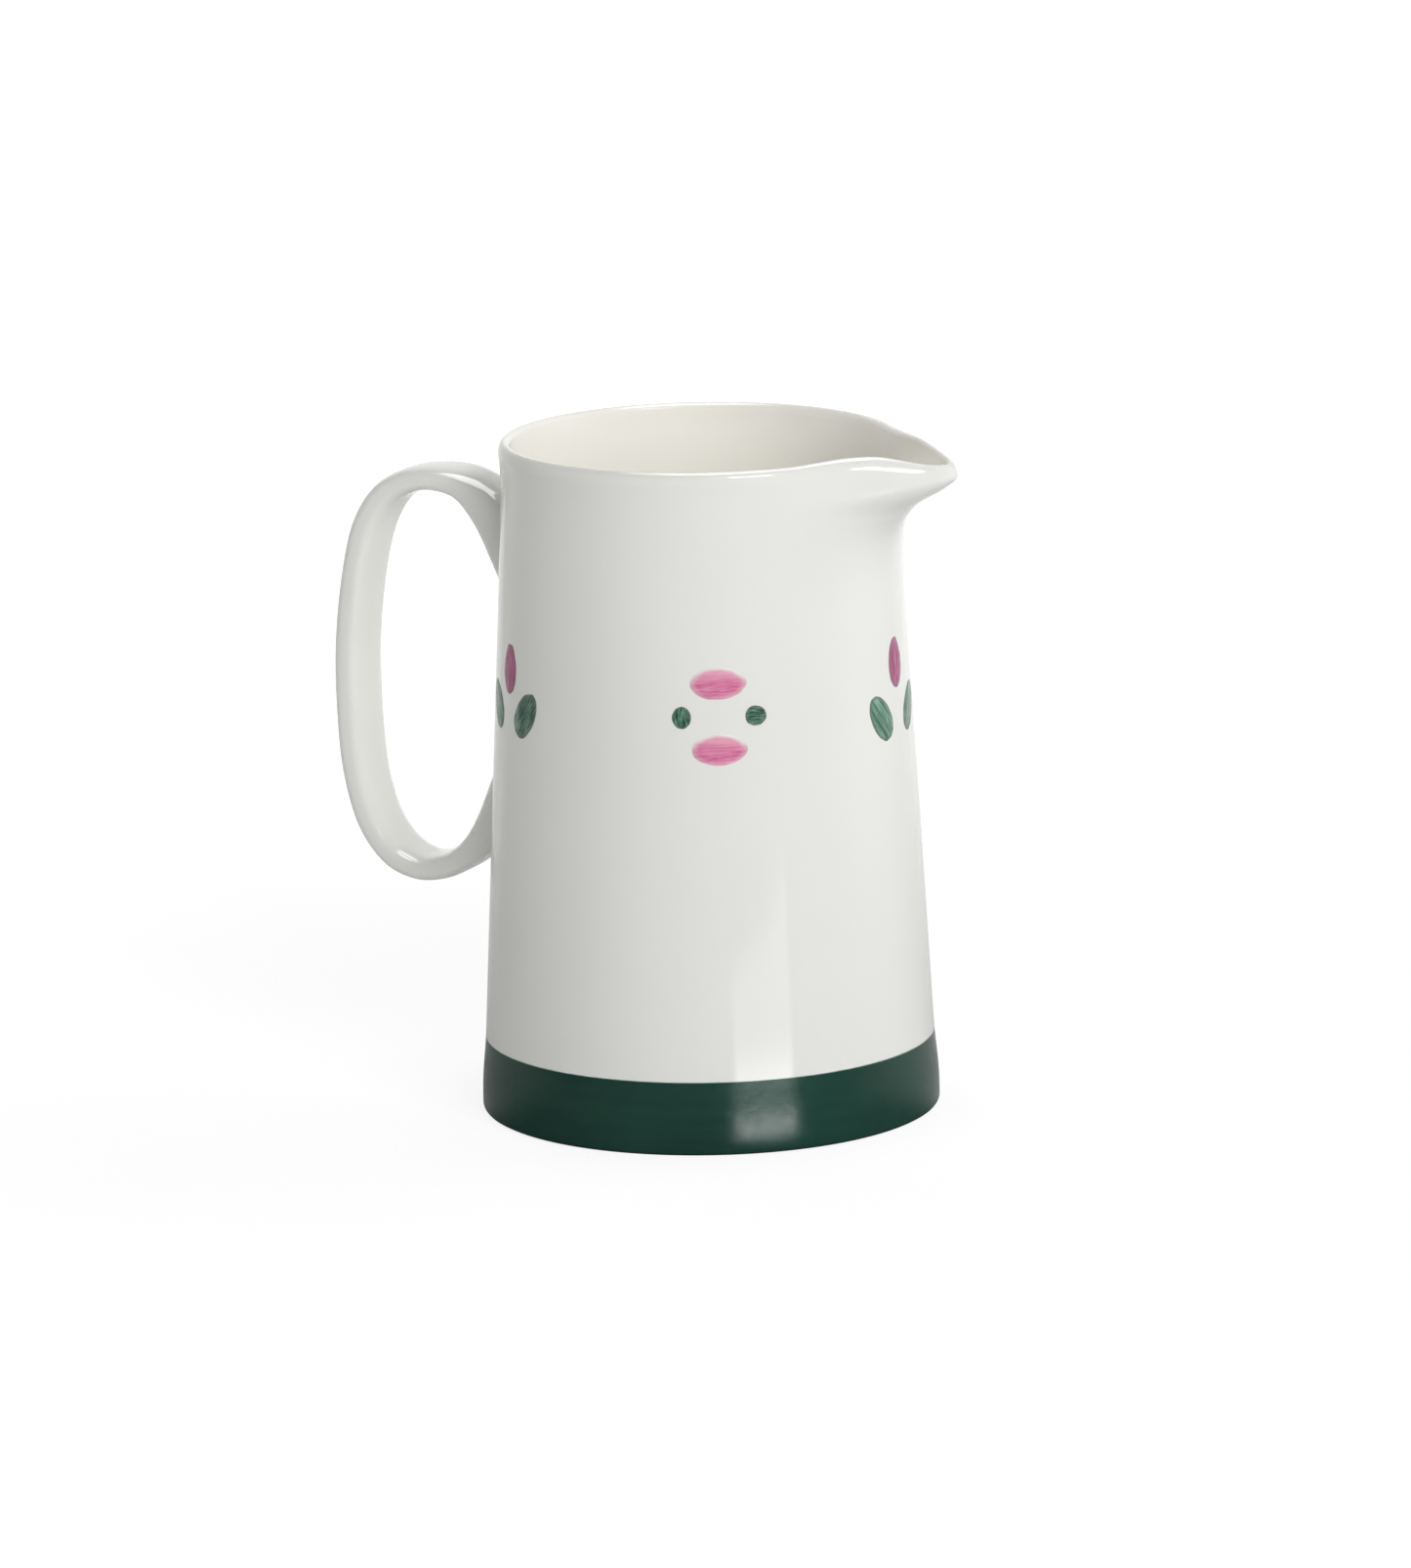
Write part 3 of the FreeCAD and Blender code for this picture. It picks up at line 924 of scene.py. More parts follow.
@dataclass
class PotForm:
    """The rule of the pot away from its lip: where its faces stand at each height, in mm."""

    overall_height: float = 120.0
    foot_line_radius: float = 40.48
    wall_taper: float = 0.0498
    foot_flare: float = 0.30
    foot_flare_height: float = 5.0
    foot_flare_reach: float = 9.0
    foot_edge_radius: float = 0.9
    rim_flare: float = 1.2
    rim_flare_depth: float = 10.0
    rim_round: float = 1.1
    rim_shoulder: float = 2.2
    rim_wall: float = 2.3
    foot_wall: float = 3.2
    floor_height: float = 4.6
    bore_corner: float = 7.0
    floor_gap: float = 0.02

    def outside(self, height: float) -> float:
        """Radius of the glazed outside.

        Args:
            height: The height above the table in mm.

        Returns:
            The radius in mm.
        """
        radius = self.foot_line_radius - self.wall_taper * height
        above = height - (self.overall_height - self.rim_flare_depth)
        if above > 0.0:
            radius += self.rim_flare * min(above / self.rim_flare_depth, 1.0) ** 2
        near = max(0.0, 1.0 - abs(height - self.foot_flare_height) / self.foot_flare_reach)
        radius += self.foot_flare * near ** 2 * (3.0 - 2.0 * near)
        return radius

    def foot_edge(self, height: float) -> float:
        """How far the rounded edge under the foot draws in at a height."""
        under = max(0.0, 1.0 - height / self.foot_edge_radius)
        return self.foot_edge_radius * (1.0 - math.sqrt(max(0.0, 1.0 - under ** 2)))

    def bore(self, height: float) -> float:
        """Radius of the glazed inside, with its round corner at the floor.

        Args:
            height: The height above the table in mm.

        Returns:
            The radius in mm.
        """
        share = min(max(height / self.overall_height, 0.0), 1.0)
        wall = self.foot_wall + (self.rim_wall - self.foot_wall) * share
        side = max(0.0, 1.0 - (height - self.floor_height) / self.bore_corner)
        corner = self.bore_corner * (1.0 - math.sqrt(max(0.0, 1.0 - side ** 2)))
        return self.outside(height) - wall - corner

    def floor_top(self) -> float:
        """The lowest height of the bore's side, just over the floor."""
        return self.floor_height + self.floor_gap


@dataclass
class PotShell:
    """The cast pot with its pouring lip, and the coats on it; sizes in mm and degrees.

    A section is a line of points from the middle of the foot or along a coat. Each has its
    radius, its height and its share of the wall, from 0 outside to 1 inside. The counts say how
    many points each stretch of a section has.
    """

    form: PotForm = field(default_factory=PotForm)
    segments: int = 288
    crowding: float = 0.62
    lip_reach: float = 14.2
    lip_half_angle: float = 8.4
    lip_spread: float = 0.5
    lip_start: float = 92.0
    lip_full: float = 116.6
    lip_wall_drop: float = 2.0
    shoulder_rise: float = 0.6
    shoulder_span: Point2 = (27.0, 35.0)
    tip_drop: float = 1.7
    tip_span: Point2 = (37.0, 49.0)
    wave_depths: Point2 = (6.5, 1.2)
    plain_top: float = 88.0
    fine_foot: float = 89.0
    inner_fine_foot: float = 90.0
    inner_plain_top: float = 88.5
    band_height: float = 13.0
    band_low: float = 0.02
    glaze_coat: float = 0.35
    lining_coat: float = 0.40
    clay_gap: float = 0.03
    inner_edge_depth: float = 1.5
    recess_radius: float = 33.5
    recess_depth: float = 1.6
    recess_bevel: float = 0.2
    ring_start: float = 1.0
    band_foot_top: float = 2.0
    band_wall_foot: float = 2.4
    clay_lift: float = 0.05
    clay_top_drop: float = 0.2
    clay_top_inset: float = 0.7
    clay_top_shares: Point2 = (0.3, 0.7)
    clay_bore_drop: float = 1.2
    glaze_counts: Tuple[int, int, int, int] = (26, 60, 27, 3)
    lining_counts: Tuple[int, int, int, int] = (58, 26, 12, 14)
    band_counts: Tuple[int, int] = (9, 14)
    clay_counts: Tuple[int, int, int, int, int, int] = (12, 5, 26, 40, 60, 12)
    lip_profile: Tuple[Point2, ...] = (
        (0.00, 0.000),
        (0.16, 0.008),
        (0.33, 0.040),
        (0.49, 0.110),
        (0.60, 0.210),
        (0.67, 0.315),
        (0.725, 0.415),
        (0.77, 0.525),
        (0.815, 0.660),
        (0.86, 0.800),
        (0.90, 0.895),
        (0.945, 0.960),
        (1.00, 1.000),
    )

    def outside_line(self, low: float, high: float, count: int) -> Section:
        """Points up the outside between two heights.

        Args:
            low: The first height.
            high: The last height.
            count: How many points.

        Returns:
            The points.
        """
        points = []
        for height in arc(low, high, count):
            radius = self.form.outside(height) - self.form.foot_edge(height)
            points.append((radius, height, 0.0))
        return points

    def inside_line(self, high: float, low: float, count: int) -> Section:
        """Points down the inside between two heights."""
        return [(self.form.bore(height), height, 1.0) for height in arc(high, low, count)]

    def rim_cap(self, count: int) -> Section:
        """Points over the rounded rim, from the outside to the inside.

        Args:
            count: How many points, with the two ends, which are left out.

        Returns:
            The points between the ends.
        """
        form = self.form
        outer = form.outside(form.overall_height - form.rim_shoulder)
        inner = form.bore(form.overall_height - form.rim_round)
        points = []
        for turn in arc(0.0, math.pi, count)[1:-1]:
            share = (1.0 - math.cos(turn)) / 2.0
            depth = form.rim_shoulder if turn < math.pi / 2.0 else form.rim_round
            height = form.overall_height - depth * (1.0 - math.sin(turn))
            points.append((outer + (inner - outer) * share, height, share))
        return points

    def backed(self, front: Section, depth: float) -> Section:
        """Closes a line of points with a second line, a coat's thickness behind it.

        Args:
            front: The coat's face, with the clay on its right-hand side.
            depth: The coat's thickness in mm.

        Returns:
            The loop, without its first point repeated.
        """
        back = []
        last = len(front) - 1
        for index, (radius, height, share) in enumerate(front):
            before, after = front[max(index - 1, 0)], front[min(index + 1, last)]
            along = Vector((after[0] - before[0], after[1] - before[1])).normalized()
            back.append((max(radius - along.y * depth, 0.0), height + along.x * depth, share))
        return front + back[::-1]

    def glaze_section(self) -> Section:
        """The white glaze: from the band up, over the rim and a little way down inside.

        Returns:
            The closed line round the coat.
        """
        rim = self.form.overall_height
        shoulder = rim - self.form.rim_round
        plain, fine, cap, edge = self.glaze_counts
        front = self.outside_line(self.band_height, self.plain_top, plain)
        front += self.outside_line(self.fine_foot, rim - self.form.rim_shoulder, fine)
        front += self.rim_cap(cap)
        front += self.inside_line(shoulder, rim - self.inner_edge_depth, edge)
        return self.closed(self.backed(front, self.glaze_coat))

    def lining_section(self) -> Section:
        """The ivory lining: from the middle of the floor out and up to the white glaze.

        Returns:
            The line round the coat, whose two ends meet the axis.
        """
        form = self.form
        top = form.overall_height - self.inner_edge_depth
        floor = form.floor_height
        fine, plain, corner, across = self.lining_counts
        front = self.inside_line(top, self.inner_fine_foot, fine)
        front += self.inside_line(self.inner_plain_top, floor + form.bore_corner, plain)
        for turn in arc(0.0, math.pi / 2.0, corner)[1:]:
            height = floor + form.bore_corner * (1.0 - math.sin(turn))
            front.append((form.bore(height), height, 1.0))
        edge = front[-1][0]
        front += [(edge * (1.0 - share), floor, 1.0) for share in arc(0.0, 1.0, across)[1:]]
        loop = self.backed(front, self.lining_coat)
        middle = len(front)
        return loop[middle:] + loop[:middle]

    def band_section(self) -> Section:
        """The green band: from just over the table up to the white glaze.

        Returns:
            The closed line round the coat.
        """
        foot, wall = self.band_counts
        front = self.outside_line(self.band_low, self.band_foot_top, foot)
        front += self.outside_line(self.band_wall_foot, self.band_height, wall)
        return self.closed(self.backed(front, self.glaze_coat))

    def inset_line(self, low: float, high: float, count: int, gap: float) -> Section:
        """Points up the outside between two heights, drawn in by a gap.

        Args:
            low: The first height.
            high: The last height.
            count: How many points.
            gap: How far they stand inside the glazed face.

        Returns:
            The points.
        """
        line = self.outside_line(low, high, count)
        return [(radius - gap, height, share) for radius, height, share in line]

    def clay_section(self) -> Section:
        """The clay under the coats, with the hollow under its foot.

        Returns:
            The line round the clay, whose two ends meet the axis.
        """
        form = self.form
        outside_gap = self.glaze_coat + self.clay_gap
        inside_gap = self.lining_coat + self.clay_gap
        rim = form.overall_height - outside_gap
        ring = form.outside(0.0) - form.foot_edge(0.0)
        inner = self.recess_radius - self.recess_depth
        bevel = self.recess_bevel
        hollow, foot, plain, fine, bore, across = self.clay_counts
        front = [(inner * share, self.recess_depth, 0.0) for share in arc(0.0, 1.0, hollow)]
        front += [(self.recess_radius - bevel, bevel, 0.0), (self.recess_radius + bevel, 0.0, 0.0)]
        start = self.recess_radius + self.ring_start
        front += [(radius, 0.0, 0.0) for radius in arc(start, ring, foot)]
        front += self.outside_line(self.band_low / 2.0, self.band_low, 2)
        front += self.inset_line(
            self.band_low + self.clay_lift, self.plain_top, plain, outside_gap
        )
        front += self.inset_line(self.fine_foot, rim - form.rim_shoulder, fine, outside_gap)
        top = rim - self.clay_top_drop
        inset = self.clay_top_inset
        out_share, in_share = self.clay_top_shares
        front.append((form.outside(top) - outside_gap - inset, top, out_share))
        front.append((form.bore(top) + inside_gap + inset, top, in_share))
        for radius, height, share in self.inside_line(
            rim - self.clay_bore_drop, form.floor_top(), bore
        ):
            front.append((radius + inside_gap, height, share))
        edge = front[-1][0]
        low = form.floor_height - inside_gap
        front += [(edge * (1.0 - share), low, 1.0) for share in arc(0.0, 1.0, across)]
        return front

    def closed(self, loop: Section) -> Section:
        """Repeats a loop's first point at its end."""
        return loop + loop[:1]

    def tree(self) -> ShapeTree:
        """The rule that turns a section round the axis and pulls the lip out of it.

        Returns:
            The tree, whose base mesh is a section's line of points.
        """
        shape = ShapeTree("turned_with_lip")
        segments = shape.size("Segments", "NodeSocketInt")
        crowding = shape.size("Crowding")
        reach = shape.size("Lip Reach")
        half_angle = shape.size("Lip Half Angle")
        spread = shape.size("Lip Spread")
        start = shape.size("Lip Start")
        full = shape.size("Lip Full")
        drop = shape.size("Wall Drop")
        rim = shape.size("Rim Height")
        rise = shape.size("Shoulder Rise")
        fall = shape.size("Tip Drop")
        material = shape.size("Finish", "NodeSocketMaterial")

        path = shape.node("GeometryNodeCurvePrimitiveCircle")
        feed(shape.tree, segments, path.inputs["Resolution"])
        index = Field(shape.tree, shape.node("GeometryNodeInputIndex").outputs[0])
        turn = index * (2.0 * math.pi) / segments
        angle = turn - crowding * turn.math("SINE")
        path_line = shape.store(path.outputs["Curve"], "angle", angle)
        section = shape.node("GeometryNodeMeshToCurve")
        feed(shape.tree, shape.entry.outputs["Geometry"], section.inputs["Mesh"])
        swept = shape.node(
            "GeometryNodeCurveToMesh", Curve=path_line, Profile_Curve=section.outputs["Curve"]
        )

        height = shape.attribute("height")
        share = shape.attribute("share")
        around = shape.attribute("angle")
        from_lip = around.math("MINIMUM", 2.0 * math.pi - around)
        below = (rim - height).math("MAXIMUM", 0.0)
        width = (half_angle + spread * (below / MM)) * math.radians(1.0)
        bell = 1.0 / from_lip_ratio(from_lip, width)
        lowered = height - drop * share
        pull = ((lowered - start) / (full - start)).math("MAXIMUM", 0.0).math("MINIMUM", 1.0)
        lip = reach * pull.curve(self.lip_profile) * bell
        radius = shape.attribute("off_axis") + lip
        along = radius * around.math("COSINE")
        wave = rise * along.smooth(*(spot * MM for spot in self.shoulder_span))
        wave = wave - (rise + fall) * along.smooth(*(spot * MM for spot in self.tip_span))
        deep, shallow = self.wave_depths
        lift = wave * height.smooth(rim - deep * MM, rim - shallow * MM)
        moved = shape.node(
            "GeometryNodeSetPosition",
            Geometry=swept.outputs["Mesh"],
            Position=shape.combine(along, radius * around.math("SINE"), height + lift),
        )
        shape.finish(moved.outputs["Geometry"], material)
        return shape

    def inputs(self, material: bpy.types.Material) -> Dict[str, object]:
        """The tree's inputs for this pot and one finish.

        Args:
            material: The finish.

        Returns:
            The inputs by name.
        """
        return {
            "Segments": self.segments,
            "Crowding": self.crowding,
            "Lip Reach": self.lip_reach * MM,
            "Lip Half Angle": self.lip_half_angle,
            "Lip Spread": self.lip_spread,
            "Lip Start": self.lip_start * MM,
            "Lip Full": self.lip_full * MM,
            "Wall Drop": self.lip_wall_drop * MM,
            "Rim Height": self.form.overall_height * MM,
            "Shoulder Rise": self.shoulder_rise * MM,
            "Tip Drop": self.tip_drop * MM,
            "Finish": material,
        }

    def build(self, finishes: Dict[Slot, bpy.types.Material]) -> None:
        """Makes the clay and its three coats.

        Args:
            finishes: The materials by slot.
        """
        tree = self.tree()
        for name, slot, section in (
            ("body_casting", Slot.CLAY, self.clay_section()),
            ("outer_glaze", Slot.GLAZE, self.glaze_section()),
            ("inner_glaze", Slot.LINING, self.lining_section()),
            ("base_band", Slot.BAND, self.band_section()),
        ):
            rows = [(radius * MM, height * MM, share) for radius, height, share in section]
            base = polyline(name + "_section", rows, ("off_axis", "height", "share"))
            piece = grow("jug_" + name, base, tree, self.inputs(finishes[slot]))
            settle(piece, slot, name)


def from_lip_ratio(angle: Field, width: Field) -> Field:
    """The hyperbolic cosine of an angle over a width, held short of overflow."""
    return (angle / width).math("MINIMUM", COSH_LIMIT).math("COSH")


# ---------------------------------------------------------------------------- the handle


@dataclass
class StrapHandle:
    """The loop handle: a rounded strap whose roots spread where they meet the wall.

    Each station gives the strap's outer and inner point in the plane of the handle, in mm, as
    distance from the axis and height, from the upper root to the lower.
    """

    form: PotForm = field(default_factory=PotForm)
    stations: Tuple[Tuple[Point2, Point2], ...] = (
        ((33.6, 105.6), (34.2, 86.4)),
        ((36.0, 107.0), (36.6, 89.4)),
        ((38.8, 108.9), (39.0, 94.4)),
        ((42.2, 110.7), (42.0, 101.0)),
        ((46.6, 111.8), (46.0, 106.2)),
        ((52.0, 111.9), (51.4, 107.6)),
        ((57.6, 110.9), (56.0, 106.6)),
        ((63.0, 107.6), (59.6, 103.8)),
        ((67.2, 101.0), (62.4, 98.6)),
        ((69.7, 91.0), (64.5, 90.2)),
        ((71.2, 79.0), (65.9, 78.8)),
        ((71.3, 67.0), (66.0, 67.2)),
        ((70.3, 55.5), (65.2, 56.2)),
        ((67.4, 45.6), (63.0, 47.9)),
        ((62.4, 39.1), (59.4, 42.9)),
        ((56.4, 36.5), (55.4, 41.0)),
        ((50.6, 36.9), (51.6, 41.3)),
        ((45.8, 39.1), (48.0, 43.2)),
        ((41.8, 42.0), (45.2, 46.4)),
        ((38.9, 44.4), (42.8, 51.0)),
        ((36.4, 46.8), (40.2, 57.2)),
        ((34.0, 49.2), (37.2, 64.0)),
    )
    half_width: float = 5.9
    root_half_width: float = 6.9
    root_fade: float = 1.2
    corner_power: float = 3.2
    rings: int = 420
    spokes: int = 72
    spline_steps: int = 24
    root_sink: float = 0.3
    fillet: float = 1.3
    fillet_steps: int = 9
    fillet_bed: float = 0.15
    fillet_overlap: float = 0.3

    def tree(self) -> ShapeTree:
        """The rule that carries the strap's section along its stations.

        Returns:
            The tree, whose base mesh is the line of stations.
        """
        shape = ShapeTree("strap_along_path")
        rings = shape.size("Rings", "NodeSocketInt")
        spokes = shape.size("Spokes", "NodeSocketInt")
        power = shape.size("Corner Power")
        wall = shape.size("Wall Radius")
        taper = shape.size("Wall Taper")
        material = shape.size("Finish", "NodeSocketMaterial")

        path = shape.node("GeometryNodeMeshToCurve")
        feed(shape.tree, shape.entry.outputs["Geometry"], path.inputs["Mesh"])
        kind = shape.node("GeometryNodeCurveSplineType", Curve=path.outputs["Curve"])
        kind.spline_type = "CATMULL_ROM"
        fine = shape.node("GeometryNodeSetSplineResolution", Geometry=kind.outputs["Curve"])
        fine.inputs["Resolution"].default_value = self.spline_steps
        even = shape.node("GeometryNodeResampleCurve", Curve=fine.outputs["Geometry"])
        feed(shape.tree, rings, even.inputs["Count"])
        index = Field(shape.tree, shape.node("GeometryNodeInputIndex").outputs[0])
        path_line = shape.store(even.outputs["Curve"], "ring", index)
        circle = shape.node("GeometryNodeCurvePrimitiveCircle")
        feed(shape.tree, spokes, circle.inputs["Resolution"])
        turn = index * (2.0 * math.pi) / spokes
        cosine, sine = turn.math("COSINE"), turn.math("SINE")
        section = circle.outputs["Curve"]
        bend = 2.0 / power
        section = shape.store(section, "side", signed_power(cosine, bend))
        section = shape.store(section, "lift", signed_power(sine, bend))
        section = shape.store(section, "spoke", index)
        swept = shape.node("GeometryNodeCurveToMesh", Curve=path_line, Profile_Curve=section)
        swept.inputs["Fill Caps"].default_value = True

        side = shape.attribute("side") * shape.attribute("half_width")
        lift = shape.attribute("lift")
        out = shape.attribute("mid_out") + shape.attribute("across_out") * lift
        up = shape.attribute("mid_up") + shape.attribute("across_up") * lift
        reach = (out * out + side * side).math("SQRT")
        least = (wall - taper * up) / reach
        held = least.math("MAXIMUM", 1.0)
        position = shape.combine(out * held * -1.0, side * held, up)
        moved = shape.node(
            "GeometryNodeSetPosition", Geometry=swept.outputs["Mesh"], Position=position
        )
        shape.finish(moved.outputs["Geometry"], material)
        return shape

    def rows(self) -> List[List[float]]:
        """The stations as the numbers that the tree reads.

        Returns:
            One row for each station, in metres: its middle's distance from the axis and height,
            half of the way across it outwards and upwards, and its half width.
        """
        last = len(self.stations) - 1
        rows = []
        for index, (outer, inner) in enumerate(self.stations):
            from_root = min(index, last - index) / self.root_fade
            spread = self.root_half_width - self.half_width
            half_width = self.half_width + spread * math.exp(-(from_root ** 2))
            rows.append([
                (outer[0] + inner[0]) / 2.0 * MM,
                (outer[1] + inner[1]) / 2.0 * MM,
                (outer[0] - inner[0]) / 2.0 * MM,
                (outer[1] - inner[1]) / 2.0 * MM,
                half_width * MM,
            ])
        return rows

    def build(self, finishes: Dict[Slot, bpy.types.Material]) -> None:
        """Makes the strap and the two collars of slip round its roots.

        Args:
            finishes: The materials by slot.
        """
        names = ("mid_out", "mid_up", "across_out", "across_up", "half_width")
        base = polyline("handle_stations", self.rows(), names)
        for vertex, row in zip(base.vertices, self.rows()):
            vertex.co = (-row[0], 0.0, row[1])
        values = {
            "Rings": self.rings,
            "Spokes": self.spokes,
            "Corner Power": self.corner_power,
            "Wall Radius": (self.form.foot_line_radius - self.root_sink) * MM,
            "Wall Taper": self.form.wall_taper,
            "Finish": finishes[Slot.HANDLE],
        }
        strap = grow("jug_handle", base, self.tree(), values)
        lines = self.spoke_lines(strap.data)
        settle(strap, Slot.HANDLE, "handle")
        for name, rows in (
            ("upper_handle_joint", lines),
            ("lower_handle_joint", [line[::-1] for line in lines]),
        ):
            collar = self.collar("jug_" + name, rows, finishes[Slot.JOINT])
            settle(collar, Slot.JOINT, name)

    def spoke_lines(self, mesh: bpy.types.Mesh) -> List[List[Vector]]:
        """The strap's lengthwise lines of points, from the upper root to the lower.

        Args:
            mesh: The strap's mesh, whose points carry their ring and spoke.

        Returns:
            One line of points for each spoke.
        """
        rings = mesh.attributes["ring"].data
        spokes = mesh.attributes["spoke"].data
        lines: List[List[Tuple[float, Vector]]] = [[] for _ in range(self.spokes)]
        for vertex in mesh.vertices:
            spoke = int(round(spokes[vertex.index].value))
            lines[spoke].append((rings[vertex.index].value, vertex.co.copy()))
        return [[spot for _, spot in sorted(line, key=lambda item: item[0])] for line in lines]

    def glaze_radius(self, spot: Vector) -> float:
        """The radius of the pot's glaze level with a point, in metres."""
        return (self.form.foot_line_radius - self.form.wall_taper * spot.z / MM) * MM

    def from_wall(self, spot: Vector) -> float:
        """How far a point stands off the pot's glaze, in metres."""
        return math.hypot(spot.x, spot.y) - self.glaze_radius(spot)

    def crossing(self, line: Sequence[Vector], distance: float) -> Vector:
        """The point where a line from the root goes from nearer than a distance to farther.

        Known fault: a line whose first point already stands farther off is followed to the
        other root, which draws slivers up the wall from a few points of the lower collar.

        Args:
            line: The line, which is taken to start nearer than the distance.
            distance: The distance off the wall in metres.

        Returns:
            The point on the line, or its last point where it never goes farther.
        """
        for before, after in zip(line, line[1:]):
            near, far = self.from_wall(before), self.from_wall(after)
            if near <= distance < far:
                return before.lerp(after, (distance - near) / (far - near))
        return line[-1].copy()

    def onto_wall(self, spot: Vector, proud: float) -> Vector:
        """A point moved level with itself onto the glaze.

        Args:
            spot: The point.
            proud: How far off the glaze it ends, in metres.

        Returns:
            The moved point.
        """
        scale = (self.glaze_radius(spot) + proud) / math.hypot(spot.x, spot.y)
        return Vector((spot.x * scale, spot.y * scale, spot.z))

    def collar(
        self, name: str, lines: Sequence[Sequence[Vector]], material: bpy.types.Material
    ) -> bpy.types.Object:
        """Makes the hollow fillet of slip between a root and the wall.

        Args:
            name: The piece's name.
            lines: The strap's lines, each from this root outwards.
            material: The slip's finish.

        Returns:
            The collar, a closed ring.
        """
        reach = self.fillet * MM
        bed = -self.fillet_bed * MM
        feet = [self.crossing(line, 0.0) for line in lines]
        middle = sum(feet, Vector()) / len(feet)
        shape = bmesh.new()
        loops = []
        for line, foot in zip(lines, feet):
            start = self.crossing(line, reach)
            away = foot - middle
            away.normalize()
            spread = self.onto_wall(foot + away * reach, 0.0)
            corner = self.onto_wall(foot, 0.0)
            points = []
            for share in arc(0.0, 1.0, self.fillet_steps):
                first = start.lerp(corner, share)
                second = corner.lerp(spread, share)
                points.append(first.lerp(second, share))
            points.append(self.onto_wall(spread, bed))
            points.append(self.onto_wall(foot - away * self.fillet_overlap * MM, bed))
            points.append(start - away * self.fillet_overlap * MM)
            loops.append([shape.verts.new(point) for point in points])
        for index, loop in enumerate(loops):
            other = loops[(index + 1) % len(loops)]
            for low in range(len(loop)):
                high = (low + 1) % len(loop)
                shape.faces.new((loop[low], loop[high], other[high], other[low]))
        mesh = bpy.data.meshes.new(name)
        shape.to_mesh(mesh)
        shape.free()
        mesh.materials.append(material)
        weld_and_face_out(mesh)
        return place(name, mesh)


def signed_power(value: Field, power: Field) -> Field:
    """A number raised to a power with its sign kept."""
    return value.math("ABSOLUTE").math("POWER", power) * value.math("SIGN")


# ---------------------------------------------------------------------------- the painting


@dataclass(frozen=True)
class Stroke:
    """One pull of the brush, in mm and degrees.

    The angle is where its motif stands round the pot, and the shift is how far round the wall
    its middle lies from there. Point says how much one end narrows, the seed sets its brush
    marks and the load is how full of paint it is, from 0 to 1.
    """

    angle: float
    shift: float
    height: float
    length: float
    width: float
    lean: float
    point: float
    seed: float
    load: float


